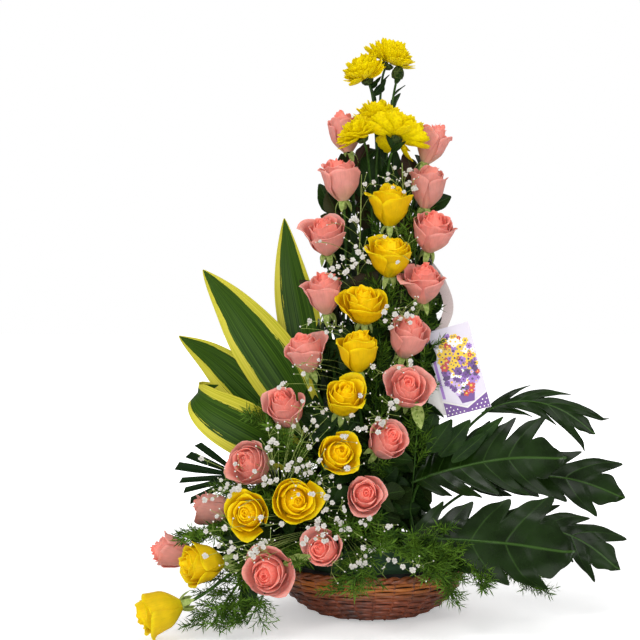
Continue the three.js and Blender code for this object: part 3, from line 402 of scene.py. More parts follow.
# %% Helpers that run a tree once and keep the plain result
def new_tree(title, inputs):
    """A tree with named inputs: its short names, its input sockets and its output socket."""
    tree = bpy.data.node_groups.new(title, "GeometryNodeTree")
    for name, kind in inputs.items():
        tree.interface.new_socket(name, in_out="INPUT", socket_type="NodeSocket" + kind)
    tree.interface.new_socket("Geometry", in_out="OUTPUT", socket_type="NodeSocketGeometry")
    source, sink = tree.nodes.new("NodeGroupInput"), tree.nodes.new("NodeGroupOutput")
    return Graph(tree), source.outputs, sink.inputs[0]


def carrier_of(paths, radii):
    """A carrier of loose lines, in metres, with a thickness at each point."""
    points, edges, widths = [], [], []
    for path, radius in zip(paths, radii):
        path, start = np.asarray(path, float), len(points)
        points.extend((path * MM).tolist())
        widths.extend(np.broadcast_to(np.asarray(radius, float), len(path)) * MM)
        edges.extend((i, i + 1) for i in range(start, len(points) - 1))
    mesh = bpy.data.meshes.new("lines")
    mesh.from_pydata(points, edges, [])
    width = mesh.attributes.new("width", "FLOAT", "POINT")
    width.data.foreach_set("value", np.array(widths, np.float32))
    return stand("lines", mesh)


def discard(carrier):
    data = carrier.data
    bpy.data.objects.remove(carrier)
    bpy.data.meshes.remove(data)


def grown(graph, paths, radii, inputs):
    """Runs a tree on lines and returns the points, in millimetres, and the faces it makes."""
    carrier = carrier_of(paths, radii)
    modifier = carrier.modifiers.new("grow", "NODES")
    modifier.node_group = graph.tree
    for item in graph.tree.interface.items_tree:
        if item.in_out == "INPUT" and item.name in inputs:
            modifier[item.identifier] = inputs[item.name]
    carrier.update_tag()
    bpy.context.view_layer.update()
    whole = carrier.evaluated_get(bpy.context.evaluated_depsgraph_get())
    mesh = bpy.data.meshes.new_from_object(whole)
    points = np.empty(len(mesh.vertices) * 3)
    mesh.vertices.foreach_get("co", points)
    faces = [tuple(face.vertices) for face in mesh.polygons]
    bpy.data.meshes.remove(mesh)
    discard(carrier)
    return points.reshape(-1, 3) / MM, faces


def model_object(points, faces, name):
    """A small model, given in millimetres, for a tree to copy."""
    mesh = bpy.data.meshes.new(name)
    mesh.from_pydata((np.asarray(points, float) * MM).tolist(), [], faces)
    return stand(name, mesh)


print("trees are run on loose lines, which are taken away again")

# %% The tree that sweeps a round section along lines
tube_tree, tube_in, tube_out = new_tree("Stems along lines", {"Lines": "Geometry", "Sides": "Int"})
curve = tube_tree.one("GeometryNodeMeshToCurve", {0: tube_in["Lines"]})
width = tube_tree.one("GeometryNodeInputNamedAttribute", {"Name": "width"}, "Attribute", data_type="FLOAT")
section = tube_tree.one("GeometryNodeCurvePrimitiveCircle", {"Resolution": tube_in["Sides"], "Radius": 1.0})
sweep = {"Curve": curve, "Profile Curve": section, "Scale": width, "Fill Caps": True}
tube_tree.tree.links.new(tube_tree.one("GeometryNodeCurveToMesh", sweep), tube_out)


def tubes(shape, paths, radii, sides=6, marks=(0, 0), finish=0):
    """Adds a round tube along each path to a shape."""
    points, faces = grown(tube_tree, paths, radii, {"Sides": sides})
    shape.add(points, faces, None, marks, finish)


print("tree:", tube_tree.tree.name, "with", len(tube_tree.tree.nodes), "nodes")

# %% The tree that sets a copy along lines, each turned and sized by chance
copy_tree, copy_in, copy_out = new_tree("Copies along lines", {
    "Lines": "Geometry", "Copy": "Object", "Spacing": "Float", "Smallest": "Float", "Largest": "Float",
    "Seed": "Int"})
curve = copy_tree.one("GeometryNodeMeshToCurve", {0: copy_in["Lines"]})
spots = add(copy_tree.tree, "GeometryNodeCurveToPoints", {"Curve": curve, "Length": copy_in["Spacing"]},
            mode="LENGTH")
sized = copy_tree.chance(copy_in["Smallest"], copy_in["Largest"], copy_in["Seed"])
turned = {0: (0, 0, 0), 1: (0, 0, 2 * math.pi), "Seed": copy_in["Seed"]}
turned = copy_tree.one("FunctionNodeRandomValue", turned, data_type="FLOAT_VECTOR")
copies = copy_tree.copies(spots.outputs["Points"], copy_in["Copy"], spots.outputs["Rotation"], sized)
spun = copy_tree.one("GeometryNodeRotateInstances", {"Instances": copies, "Rotation": turned})
copy_tree.tree.links.new(copy_tree.one("GeometryNodeRealizeInstances", {0: spun}), copy_out)


def copies_along(shape, paths, model, spacing, sizes, seed):
    """Adds copies of a model along each path to a shape."""
    inputs = {"Copy": model, "Spacing": spacing * MM, "Smallest": sizes[0], "Largest": sizes[1], "Seed": seed}
    shape.add(*grown(copy_tree, paths, [1.0] * len(paths), inputs))


print("tree:", copy_tree.tree.name, "with", len(copy_tree.tree.nodes), "nodes")

# %% [markdown]
# ## Where everything stands
#
# These sizes and places are the solid model's own, repeated in millimetres. Each rose has the middle of its
# bloom, the bearing and rise of the way it faces, its width and how far it has opened.

# %% The roses and the bundles of stems that carry them
ROSES = [
    ("pink", "left", -32, 14, 618, 180, 80, 42, 0.25),
    ("pink", "left", -38, -34, 550, -120, 78, 46, 0.35),
    ("pink", "left", -58, -48, 478, -100, 55, 50, 0.5),
    ("pink", "left", -59, -58, 405, -120, 74, 46, 0.55),
    ("pink", "left", -82, -68, 332, -130, 68, 50, 0.7),
    ("pink", "left", -107, -84, 262, -110, 45, 48, 0.5),
    ("pink", "low", -148, -96, 196, -120, 20, 50, 0.5),
    ("pink", "right", 79, -8, 600, 0, 70, 40, 0.3),
    ("pink", "right", 72, -32, 541, -60, 76, 44, 0.3),
    ("pink", "right", 77, -42, 483, -70, 60, 50, 0.5),
    ("pink", "right", 65, -54, 417, -90, 64, 54, 0.8),
    ("pink", "right", 44, -66, 350, -60, 64, 50, 0.5),
    ("pink", "right", 42, -84, 286, -80, 35, 56, 0.8),
    ("pink", "middle", 15, -98, 224, -60, 30, 48, 0.6),
    ("pink", "front", -12, -118, 162, -90, 12, 44, 0.6),
    ("pink", "low", -190, -90, 140, 175, 8, 40, 0.1),
    ("pink", "low", -243, -92, 90, 180, 12, 38, 0.3),
    ("pink", "front", -58, -142, 102, -110, 18, 44, 0.6),
    ("pink", "front", -124, -142, 76, -100, 2, 56, 0.8),
    ("yellow", "middle", 23, -52, 516, -90, 76, 52, 0.55),
    ("yellow", "middle", 22, -66, 451, -90, 66, 54, 0.6),
    ("yellow", "middle", -10, -82, 390, -90, 60, 58, 1.0),
    ("yellow", "middle", -19, -98, 334, -90, 72, 46, 0.5),
    ("yellow", "middle", -36, -108, 277, -80, 45, 48, 0.5),
    ("yellow", "middle", -46, -124, 212, -80, 20, 48, 0.6),
    ("yellow", "front", -97, -134, 160, -80, 10, 52, 0.85),
    ("yellow", "low", -148, -130, 142, -100, 8, 50, 0.8),
    ("yellow", "low", -203, -134, 84, -150, 2, 48, 0.4),
    ("yellow", "low", -250, -168, 35, -160, -14, 48, 0.2),
]
CLOSED_HEIGHT, OPEN_DROP = 50, 6  # the height of a closed bloom, and how much lower an open one is


def facing(bearing, rise):
    """A direction from its bearing round the basket and its rise above level, in degrees."""
    b, e = math.radians(bearing), math.radians(rise)
    return np.array([math.cos(e) * math.cos(b), math.cos(e) * math.sin(b), math.sin(e)])


roses = []
for number, (colour, group, x, y, z, bearing, rise, width, opening) in enumerate(ROSES, 1):
    axis = facing(bearing, rise)
    height = CLOSED_HEIGHT - OPEN_DROP * opening
    roses.append(dict(name=f"rose_{colour}_{number:02d}", colour=colour, group=group, axis=axis,
                      base=np.array([x, y, z]) - axis * height / 2, height=height, radius=width / 2,
                      opening=opening, twist=(number - 1) * 1.9, number=number))

DAISIES = {
    "upper_left": [dict(base=(-3, 18, 690), axis=facing(-150, 62), radius=28, height=32, seed=11, tilt=1.28)],
    "upper_right": [dict(base=(24, 26, 712), axis=facing(-20, 62), radius=31, height=32, seed=12, tilt=1.28)],
    "lower": [
        dict(base=(-12, -38, 606), axis=facing(-140, 55), radius=29, height=24, seed=13),
        dict(base=(9, -8, 628), axis=facing(-100, 72), radius=30, height=28, seed=14),
        dict(base=(32, -46, 603), axis=facing(40, 62), radius=37, height=30, seed=15, cup=0.17),
    ],
}
daisy_heads = [head for group in DAISIES.values() for head in group]

BLOOMS = [(r["base"], r["axis"], r["radius"] * 1.04, r["height"]) for r in roses]
BLOOMS += [(np.array(d["base"]), d["axis"], d["radius"] * 0.95, d["height"]) for d in daisy_heads]


def room(points, margin=1.0):
    """True for each point that lies outside every bloom, with a margin in millimetres."""
    points = np.asarray(points, float).reshape(-1, 3)
    clear = np.ones(len(points), bool)
    for base, axis, radius, height in BLOOMS:
        local = points - base
        along = local @ axis
        out = np.linalg.norm(local - along[:, None] * axis, axis=1)
        share = np.clip(along / height, 0, 1)
        wide = radius * np.where(share < 0.35, 0.45 + 0.55 * share / 0.35, 1.0)
        clear &= ~((along > -margin) & (along < height + margin) & (out < wide + margin))
    return clear


print("roses:", len(roses), "chrysanthemum heads:", len(daisy_heads))

# %% The holes in the foam, and the paths that stems take from there
FOAM_TOP, HOLE_FLOOR = 88, 30
MOST_LEAN = 0.45
BUNDLE_RADIUS = 5.3
CUP_DEPTH = 8  # how far below the foot of a bloom its stem ends
STEPS = 18

BUNDLES = {
    "left": dict(at=(-30, 8), lean=(-0.04, -0.02, 1), low=0.6),
    "middle": dict(at=(0, -22), lean=(0.02, -0.1, 1), low=0.6),
    "right": dict(at=(32, 6), lean=(0.06, -0.02, 1), low=0.6),
    "low": dict(at=(-58, -22), lean=(-0.42, -0.16, 1), low=0.3),
    "front": dict(at=(-22, -56), lean=(-0.1, -0.43, 1), low=0.3),
}


def footing(at, lean):
    """Where a stalk enters the foam, its direction there and its foot in the foam."""
    point, lean = np.array([*at, FOAM_TOP], float), np.asarray(lean, float)
    slope = math.hypot(lean[0], lean[1]) / lean[2]
    if slope > MOST_LEAN:
        lean = np.array([lean[0] * MOST_LEAN / slope, lean[1] * MOST_LEAN / slope, lean[2]])
    direction = unit(lean)
    depth = FOAM_TOP - HOLE_FLOOR - 2
    return point, direction, point - direction * depth / direction[2]


def footing_towards(at, target):
    """The footing of a stalk that sets out towards a point."""
    return footing(at, np.array(target) - np.array([*at, FOAM_TOP]))


def bezier(a, b, c, d, steps):
    t = np.linspace(0, 1, steps + 1)[:, None]
    return (1 - t) ** 3 * a + 3 * (1 - t) ** 2 * t * b + 3 * (1 - t) * t**2 * c + t**3 * d


def stalk_path(root, end, axis, steps, low, high, aside=(0, 0, 0)):
    """A path from a hole in the foam to an end point, arriving there along an axis."""
    point, direction, foot = root
    start = point + direction * 8 + aside
    span = np.linalg.norm(end - start)
    return np.concatenate([[foot + aside], bezier(start, start + direction * span * low,
                                                  end - axis * span * high, end, steps)])


def on_path(path, share):
    place = share * (len(path) - 1)
    i = min(int(place), len(path) - 2)
    return path[i] + (path[i + 1] - path[i]) * (place - i)


for group, bundle in BUNDLES.items():
    members = sorted([r for r in roses if r["group"] == group], key=lambda r: -r["base"][2])
    root = footing(bundle["at"], bundle["lean"])
    for i, rose in enumerate(members):
        a = math.pi / 2 + (1 if i % 2 else -1) * math.ceil(i / 2) * 2 * math.pi / len(members)
        end = rose["base"] - rose["axis"] * CUP_DEPTH
        aside = around(a) * BUNDLE_RADIUS
        rose["path"] = stalk_path(root, end, rose["axis"], STEPS, bundle["low"], 0.22, aside)
    bundle["roses"] = members
print("stems in the bundles:", {group: len(bundle["roses"]) for group, bundle in BUNDLES.items()})

# %% [markdown]
# ## Rose petals
#
# A rose petal is a thin cupped skin. It is pale and a little green at its foot, full of colour over its belly,
# and lighter at its lip, partly its own colour and partly a painted highlight. Its lip rolls outwards as it
# opens. Each bloom holds sixteen of them in six rings: each petal has one edge outside its neighbour and one
# inside, and the innermost are rolled into a tight spiral. Petals scatter light inside themselves and pass it
# on, which gives roses their soft glow, so their material has a little subsurface light and fine veins that
# run from foot to lip. Toward the heart the colour is warmer, and also lighter as painted light that lifts the
# shade between the rings, and a faint painted glow near the heart lifts that shade further.

# %% Materials of fresh petals
def petal_finish(name, foot, body, lip, heart_and_painted_lift, faded, glow):
    """A rose petal: colour by place along the petal, by ring, and by how faded the bloom is."""
    petal = Finish(name)
    uv, depth = petal.uv(), petal.mark("depth")
    along = petal.one("ShaderNodeSeparateXYZ", {0: uv}, "Y")
    # the lip is lighter than the belly, partly its own colour and partly a painted highlight on the rolled edge
    fresh = petal.ramp(along, (0.0, foot), (0.36, body), (0.78, body), (1.0, lip))
    # toward the heart the colour is warmer, its own colour, and lighter as painted light lifting the shade there
    warm_and_painted_lift = petal.mix(petal.span(depth, 0.0, 0.8, 0.0, 1.0), fresh, heart_and_painted_lift)
    old = petal.mix(petal.mark("tone"), warm_and_painted_lift, faded)
    # veins are about 0.6 mm apart on a petal about 40 mm wide, drawn twice as coarse to show
    veins = petal.noise(petal.stretch(uv, (34, 2.2, 1)), 1.0, 3.0, Roughness=0.55)
    # blotches about 8 mm across, where a petal is thicker or has begun to age
    cloud = petal.noise(petal.place(), 110.0, 2.0)
    shade = petal.span(petal.math("ADD", veins, cloud), 0.7, 1.35, 0.84, 1.06)
    colour = petal.mix(1.0, old, shade, blend_type="MULTIPLY")
    petal.look({
        "Base Color": colour, "Normal": petal.bump(veins, 0.12, 0.0004), "Roughness": 0.6,
        # painted glow in the petal's own colour, stronger toward the heart, lifts the shade between the rings
        "Emission Color": colour, "Emission Strength": petal.span(depth, 0.0, 0.8, 0.0, 0.12),
        "Subsurface Weight": 0.45, "Subsurface Radius": glow, "Subsurface Scale": 0.003,
        "Specular IOR Level": 0.12})
    return petal


# the lip colours hold a painted highlight, and the heart colours a painted lift of the shade between rings
petal_finishes = {
    "pink": petal_finish("pink rose petal", "#d0a287", "#d98d82", "#faa89d", "#fb8b7b", "#b98478",
                         (1.0, 0.4, 0.3)),
    "yellow": petal_finish("yellow rose petal", "#bca400", "#dcae00", "#f8d80e", "#f8cd0a", "#e8db2e",
                           (1.0, 0.75, 0.03)),
}
print("petal materials:", [petal.material.name for petal in petal_finishes.values()])

# %% One petal, and a bloom of them
# For each ring from the outside in: petals in it, reach of the belly, height of the lip, how much an open
# bloom lowers it, how far the lip stands in from the belly and how much an open bloom spreads it, roll of
# the lip in radians, size of the roll, half the angle that a petal spans, and the petal's grid.
PETAL_RINGS = [
    dict(count=3, belly=0.92, top=0.80, drop=0.22, neck=0.96, spread=0.42, roll=2.0, curl=0.22, span=1.14),
    dict(count=3, belly=0.87, top=0.88, drop=0.14, neck=0.85, spread=0.32, roll=1.8, curl=0.18, span=1.16),
    dict(count=3, belly=0.79, top=0.94, drop=0.06, neck=0.70, spread=0.18, roll=1.6, curl=0.14, span=1.22),
    dict(count=3, belly=0.67, top=0.98, drop=0.01, neck=0.54, spread=0.08, roll=1.5, curl=0.10, span=1.3),
    dict(count=2, belly=0.52, top=1.01, drop=0.0, neck=0.41, spread=0.04, roll=1.3, curl=0.07, span=1.85),
    dict(count=2, belly=0.35, top=1.03, drop=0.0, neck=0.28, spread=0.0, roll=0.9, curl=0.035, span=2.1),
]
OUTER_GRID, INNER_GRID = (13, 11), (10, 9)
LIP_START = 0.7
PETAL_SKIN = 0.55
WIDEST = 1.1  # the outermost lips, as a share of the bloom's radius


def petal_grid(rose, ring, middle, chance, size):
    """The middle surface of one petal about +Z, as a grid from foot to lip."""
    R, H, opening = rose["radius"], rose["height"], rose["opening"]
    u, v = across_along(*size)
    wobble, lean = chance.uniform(-1, 1), chance.uniform(-1, 1)
    outer = max(0.0, (ring["belly"] - 0.2) / 0.7)
    # the outline is rounded at the corners and has a small tip, off the middle
    tip = (0.04 + 0.09 * outer) * np.exp(-(((u - 0.15 * lean) / 0.26) ** 2))
    t = v * (1 - (0.24 + 0.10 * outer) * np.abs(u) ** 2.0 + tip)
    # the body swells from the foot to the belly and closes towards the neck
    belly = R * (ring["belly"] + 0.04 * opening) * (1 + 0.03 * wobble)
    top = H * (ring["top"] - ring["drop"] * opening) * (1 + 0.06 * lean)
    body = np.clip(t / LIP_START, 0, 1)
    rising = np.sin(np.clip(body / 0.55, 0, 1) * np.pi / 2)
    closing = np.clip((body - 0.5) / 0.5, 0, 1)
    closing = closing * closing * (3 - 2 * closing)
    neck = ring["neck"] + ring["spread"] * opening + 0.08 * wobble
    radius = belly * ((0.30 + 0.70 * rising) * (1 + (neck - 1) * closing))
    height = top * (1 - (1 - body) ** 1.3)
    # the lip rolls outwards, more at its corners
    fold = np.clip((t - LIP_START) / (1 - LIP_START), 0, 1)
    corner = 0.55 + 0.8 * np.abs(u + 0.2 * lean) ** 1.3
    roll = ring["roll"] * (0.62 + 0.5 * opening) * corner * (1 + 0.35 * wobble)
    curl = R * ring["curl"] * (1 + 0.25 * wobble)
    point = 0.05 * H * outer * fold * (1 - opening) * np.exp(-((u / 0.5) ** 2))
    radius = radius + curl * (1 - np.cos(fold * roll))
    height = height + curl * np.sin(fold * roll) * 1.15 + point
    # its sides stand off, its edge waves, and one side laps over the next petal
    side = np.clip((np.abs(u) - 0.6) / 0.4, 0, 1)
    radius = radius + R * 0.10 * outer * side**2 * t
    radius = radius + R * 0.045 * np.sin(3.4 * u + 3 * wobble + 5 * v) * t**2
    height = height + H * 0.034 * np.sin(5.0 * u + 9 * lean) * fold + H * 0.07 * wobble * u * body
    radius = radius * (1 + (0.05 + 0.06 * (1 - outer)) * u)
    span = ring["span"] * (0.62 + 0.38 * np.sin(np.clip(t * 1.5, 0, 1) * np.pi / 2)) * (1 - 0.12 * t**4)
    angle = middle + u * span
    return np.stack([radius * np.cos(angle), radius * np.sin(angle), height], axis=2)


def bloom_shape(rose, faded):
    """A bloom: its heart stands a little off the middle and is a little flattened."""
    shape, petals = Shape(), []
    chance = random.Random(rose["number"] * 7 + 3)
    turn, off = rose["twist"], chance.uniform(0, 2 * math.pi)
    off_centre = around(off)[:2] * rose["radius"] * 0.15
    squeeze = chance.uniform(0.8, 0.92)
    for k, ring in enumerate(PETAL_RINGS):
        turn += 1.05 + chance.uniform(-0.25, 0.25)
        for i in range(ring["count"]):
            middle = turn + 2 * math.pi * i / ring["count"] + chance.uniform(-0.3, 0.3)
            mark = min(1.0, max(0.0, faded + chance.uniform(-0.06, 0.06)))
            grid = petal_grid(rose, ring, middle, chance, OUTER_GRID if k < 3 else INNER_GRID)
            grid[..., :2] += off_centre * min(1, k / 3) * grid[..., 2:] / rose["height"]
            grid[..., 0] *= 1 - (1 - squeeze) * min(1, k / 4)
            petals.append((grid, (k / (len(PETAL_RINGS) - 1), mark)))
    reaches = np.concatenate([np.hypot(grid[..., 0], grid[..., 1]).ravel() for grid, _ in petals[:6]])
    narrow = np.array([min(1, WIDEST * rose["radius"] / np.percentile(reaches, 97))] * 2 + [1])
    for grid, marks in petals:
        shape.skin(put(grid * narrow, rose["base"], rose["axis"]), PETAL_SKIN, marks)
    return shape


FADED = {16: 0.75, 9: 0.35, 7: 0.3, 3: 0.12, 6: 0.15, 28: 0.1, 29: 0.15}
for rose in roses:
    finished(bloom_shape(rose, FADED.get(rose["number"], 0.0)), rose["name"] + "_petals", rose["colour"],
             [petal_finishes[rose["colour"]]], rose["name"])
print("petals in a bloom:", sum(ring["count"] for ring in PETAL_RINGS))

# %% [markdown]
# ## Chrysanthemums
#
# A florist's chrysanthemum has sixty or more narrow petals. Each is a small trough with a blunt, notched
# tip; the outer ones stand out level and the inner ones are shorter and more upright. They sit in the same
# spiral as the seeds of a sunflower, a golden angle apart, so one tree of nodes can place them all: petal
# number n is turned by n golden angles, and its tilt and size follow from how far it is from the middle.

# %% A material for the lemon yellow petals, and the petal that is copied
# mottling about 3 mm across, lighter and darker at random, breaks up the flat yellow
daisy_petal = grained(
    "chrysanthemum petal", (0.3, "#d8bd00"), (0.7, "#f4e000"), 320.0,
    {"Roughness": 0.6, "Subsurface Weight": 0.2, "Subsurface Radius": (1.0, 0.85, 0.02),
     "Subsurface Scale": 0.002, "Specular IOR Level": 0.1})


def trough_petal(length=24, half_width=5.0):
    """A shallow trough that bows back, with a notched tip."""
    u, v = across_along(8, 5)
    half = half_width * np.clip(0.35 + 0.85 * np.sin(np.pi * np.clip(v, 0, 0.97) ** 1.15 * 0.86), 0.1, 1.05)
    x = u * (half * np.where(v > 0.93, 0.55, 1.0))
    z = length * (v * (1 - 0.06 * (1 - np.abs(u)) * (v > 0.9)))
    y = 1.7 * (u**2) * np.sin(np.pi * v) - 3.0 * np.sin(np.pi * v * 0.9)
    shape = Shape()
    shape.skin(np.stack([x, y, z], axis=2), 0.5)
    return model_object(np.concatenate(shape.points), shape.faces, "trough_petal")


petal_model = trough_petal()
print("material:", daisy_petal.material.name, "points in the petal:", len(petal_model.data.vertices))

# %% The tree that places petals by the golden angle
GOLDEN = math.pi * (3 - math.sqrt(5))
STRAY = 0.26  # how far a petal's tilt strays, in radians
daisy_tree, daisy_in, daisy_out = new_tree("Petals by the golden angle", {
    "Carrier": "Geometry", "Petal": "Object", "Petals": "Int", "Roll": "Float", "Outer Tilt": "Float",
    "Inner Tilt": "Float", "Outer Size": "Float", "Inner Size": "Float", "Disc": "Float", "Depth": "Float",
    "Seed": "Int"})


def rotation(x, y, z):
    turn = daisy_tree.one("ShaderNodeCombineXYZ", {0: x, 1: y, 2: z})
    return daisy_tree.one("FunctionNodeEulerToRotation", {0: turn})


dots = daisy_tree.one("GeometryNodeMeshLine", {"Count": daisy_in["Petals"]}, mode="OFFSET")
index = daisy_tree.one("GeometryNodeInputIndex")
angle = daisy_tree.math("MULTIPLY", index, GOLDEN)
far = daisy_tree.math("POWER", daisy_tree.math("DIVIDE", index, daisy_in["Petals"]), 0.6)
stray = daisy_tree.chance(-STRAY, STRAY, daisy_in["Seed"])
tilt = daisy_tree.span(far, 0, 1, daisy_in["Inner Tilt"], daisy_in["Outer Tilt"])
tilt = daisy_tree.math("ADD", tilt, stray)
scale = daisy_tree.span(far, 0, 1, daisy_in["Inner Size"], daisy_in["Outer Size"])
scale = daisy_tree.math("MULTIPLY", scale, daisy_tree.math("MULTIPLY_ADD", stray, 0.5, 1.0))
ring = daisy_tree.math("MULTIPLY", far, daisy_in["Disc"])
across, deep = [daisy_tree.math("MULTIPLY", daisy_tree.math(wave, angle), ring)
                for wave in ("COSINE", "SINE")]
lift = daisy_tree.span(far, 0, 1, daisy_in["Depth"], 0.001)
spot = daisy_tree.one("ShaderNodeCombineXYZ", {0: across, 1: deep, 2: lift})
dots = daisy_tree.one("GeometryNodeSetPosition", {"Geometry": dots, "Position": spot})
turned = rotation(tilt, 0.0, daisy_tree.math("ADD", angle, math.pi / 2))
# each petal is also rolled a little about its own length, as no two troughs lie alike
least = daisy_tree.math("MULTIPLY", daisy_in["Roll"], -1.0)
rolled = rotation(0.0, 0.0, daisy_tree.chance(least, daisy_in["Roll"], daisy_in["Seed"]))
turned = daisy_tree.one("FunctionNodeRotateRotation", {0: turned, 1: rolled}, rotation_space="LOCAL")
copies = daisy_tree.copies(dots, daisy_in["Petal"], turned, scale)
daisy_tree.tree.links.new(daisy_tree.one("GeometryNodeRealizeInstances", {0: copies}), daisy_out)

HEAD_PETALS = 62
for name, heads in DAISIES.items():
    shape = Shape()
    for head in heads:
        points, faces = grown(daisy_tree, [[(0, 0, 0), (0, 0, 1)]], [1.0], {
            "Petal": petal_model, "Petals": HEAD_PETALS, "Roll": 0.6, "Seed": head["seed"],
            "Outer Tilt": head.get("tilt", 1.5), "Inner Tilt": 0.12,
            "Outer Size": head["radius"] / 24.5, "Inner Size": head["height"] / 27,
            "Disc": 0.2 * head["radius"] * MM, "Depth": head["height"] * 0.14 * MM})
        shape.add(put(points + [0, 0, 1.5], head["base"], head["axis"]), faces)
    finished(shape, f"chrysanthemum_{name}_petals", "daisy", [daisy_petal], f"chrysanthemum_{name}")
print("petals in a head:", HEAD_PETALS, "triangles:", added_triangles["chrysanthemum_lower_petals"])

# %% [markdown]
# ## Stems, cups, sepals and rose leaves
#
# A cut rose stem is round, about 5 mm thick at the foot and thinner at the neck. Under the bloom is a green
# cup with five sepals that fold back as the flower opens. Its leaves have five or three leaflets with small
# teeth, a deep midrib and side veins that run to the teeth. The young ones are tinted with purple brown.

# %% Materials of stems and leaves
LEAFY = {"Specular IOR Level": 0.08, "Coat Roughness": 0.25}
stem_green = grained("rose stem", (0.3, "#1c3210"), (0.75, "#3f6222"), (420, 420, 40),
                     {**LEAFY, "Roughness": 0.5, "Coat Weight": 0.1}, relief=(0.2, 0.0003))
sepal_green = grained("rose sepal", (0.3, "#6d8338"), (0.7, "#a3b36a"), 260.0, {**LEAFY, "Roughness": 0.6})
cup_green = grained("chrysanthemum cup", (0.35, "#222d16"), (0.7, "#4b5c2a"), 500.0,
                    {**LEAFY, "Roughness": 0.6})

# a net-veined leaf: midrib, slanting side veins, and a brown tint from its tone mark
SIDE_VEINS = 7
rose_leaf_skin = leaf = Finish("rose leaf")
split = add(leaf.tree, "ShaderNodeSeparateXYZ", {0: leaf.uv()}).outputs
side = leaf.math("ABSOLUTE", leaf.math("SUBTRACT", split["X"], 0.5))
rib = leaf.span(side, 0.0, 0.035, 1.0, 0.0)
bent = leaf.math("MULTIPLY_ADD", side, -0.7, split["Y"])
wave = leaf.math("ABSOLUTE", leaf.math("SINE", leaf.math("MULTIPLY", bent, SIDE_VEINS * math.pi)))
lines = leaf.math("MAXIMUM", rib, leaf.span(wave, 0.0, 0.16, 0.55, 0.0))
ground = leaf.ramp(leaf.noise(leaf.place(), 45.0, 3.0), (0.3, "#11240d"), (0.7, "#243c14"))
tinted = leaf.mix(leaf.mark("tone"), ground, "#35201a")
leaf.look({**LEAFY, "Roughness": 0.42, "Base Color": leaf.mix(lines, tinted, "#3b5526"),
           "Normal": leaf.bump(leaf.math("SUBTRACT", 1.0, lines), 0.5, 0.0006)})
print("materials:", [green.material.name for green in (stem_green, sepal_green, cup_green, rose_leaf_skin)])

# %% The cup and the five folded sepals under a bloom
SEPALS = 5
SEPAL_GRID = (7, 3)


def sepal(length, width, spread, droop, curl):
    """A narrow pointed sepal about +Z that leaves the cup's edge and folds back down."""
    u, v = across_along(*SEPAL_GRID)
    half = width * np.clip((1 - v**2.6) * (0.8 + 0.3 * v), 0.05, None)
    turn = spread + droop * v**curl
    step = np.full(SEPAL_GRID[0], length / (SEPAL_GRID[0] - 1))[:, None]
    step[0] = 0
    out, up = np.cumsum(np.sin(turn) * step, axis=0), np.cumsum(np.cos(turn) * step, axis=0)
    return np.stack([out + 0 * u, u * half, up + 0.25 * np.abs(u) * half], axis=2)


def calyx(shape, rose, chance):
    """Adds the cup and sepals of one rose to a shape."""
    cup = rose["radius"] * 0.27
    profile = [(2.2, -11.5), (3.6, -10), (4.7, -7.5), (4.6, -5), (cup * 0.86, -2.5), (cup, -0.6),
               (cup * 0.5, -0.3)]
    points, faces = turned_body(profile, -12, -0.3, 10)
    shape.add(put(points, rose["base"], rose["axis"]), faces, finish=1)
    for i in range(SEPALS):
        turn = rose["twist"] + 2 * math.pi * i / SEPALS
        grid = sepal(15 + 4 * chance.random(), 4.6, 1.3, 1.6 + 0.35 * chance.random(), 0.3)
        grid = grid + np.array([cup * 0.72, 0, -0.6])
        shape.skin(put(grid, rose["base"], rose["axis"], turn), 0.6, finish=1)


print("sepals under a bloom:", SEPALS)

# %% A leaf of toothed leaflets
def leaflet(base, tip, half, teeth, rows=10, columns=5):
    """A toothed leaflet in the plane of its leaf: x across, z along, cupped towards +Y."""
    base, tip = np.asarray(base, float), np.asarray(tip, float)
    u, v = across_along(rows, columns)
    along = tip - base
    length = np.linalg.norm(along)
    along = along / length
    aside = np.array([along[1], -along[0]])
    swell = np.sin(np.pi * np.clip(v, 0.02, 0.985) ** 0.8) ** 0.75
    tooth = 1 + 0.07 * (((v * teeth) % 1.0) - 0.5) * (np.abs(u) > 0.9)
    width = half * np.maximum(swell, 0.04) * tooth
    x = base[0] + along[0] * v * length + aside[0] * u * width
    z = base[1] + along[1] * v * length + aside[1] * u * width
    bow = -0.10 * length * v**2
    y = 0.3 * np.abs(u) * width + bow + 0.02 * length * np.sin(9 * v + 2 * u) * np.abs(u)
    return np.stack([x, y, z], axis=2)


FIVE_LEAFLETS_FROM = 58  # millimetres


def rose_leaf(shape, point, direction, size, twist, tone, rows=10, columns=5):
    """Adds a leaf with three leaflets, or five where it is large, and returns the line of its midrib."""
    parts = [((0, 0.52), (0, 1.16), 0.24)]
    parts += [((s * 0.012, 0.33), (s * 0.50, 0.62), 0.18) for s in (-1, 1)]
    if size > FIVE_LEAFLETS_FROM:
        parts += [((s * 0.012, 0.16), (s * 0.36, 0.30), 0.13) for s in (-1, 1)]
    for base, tip, half in parts:
        grid = leaflet(np.array(base) * size, np.array(tip) * size, half * size, 9, rows, columns)
        grid[..., 1] += 0.25 * np.abs(grid[..., 0])
        shape.skin(put(grid, point, direction, twist), 0.5, (0, tone), 2)
    return put([(0, 0, 0.3), (0, 0, size * 0.3), (0, -0.2, size * 0.56)], point, direction, twist)


def share_at(path, level):
    """How far along a rising path a level is reached."""
    return float(np.interp(level, path[:, 2], np.linspace(0, 1, len(path))))


def facing_out(direction, normal):
    """The twist that turns a leaf's face, which is its own +Y, towards a normal."""
    x, y = put([(1, 0, 0), (0, 1, 0)], (0, 0, 0), direction)
    return math.atan2(-float(normal @ x), float(normal @ y))


print("points in a leaflet:", leaflet((0, 0), (0, 1), 1, 9).size // 3)

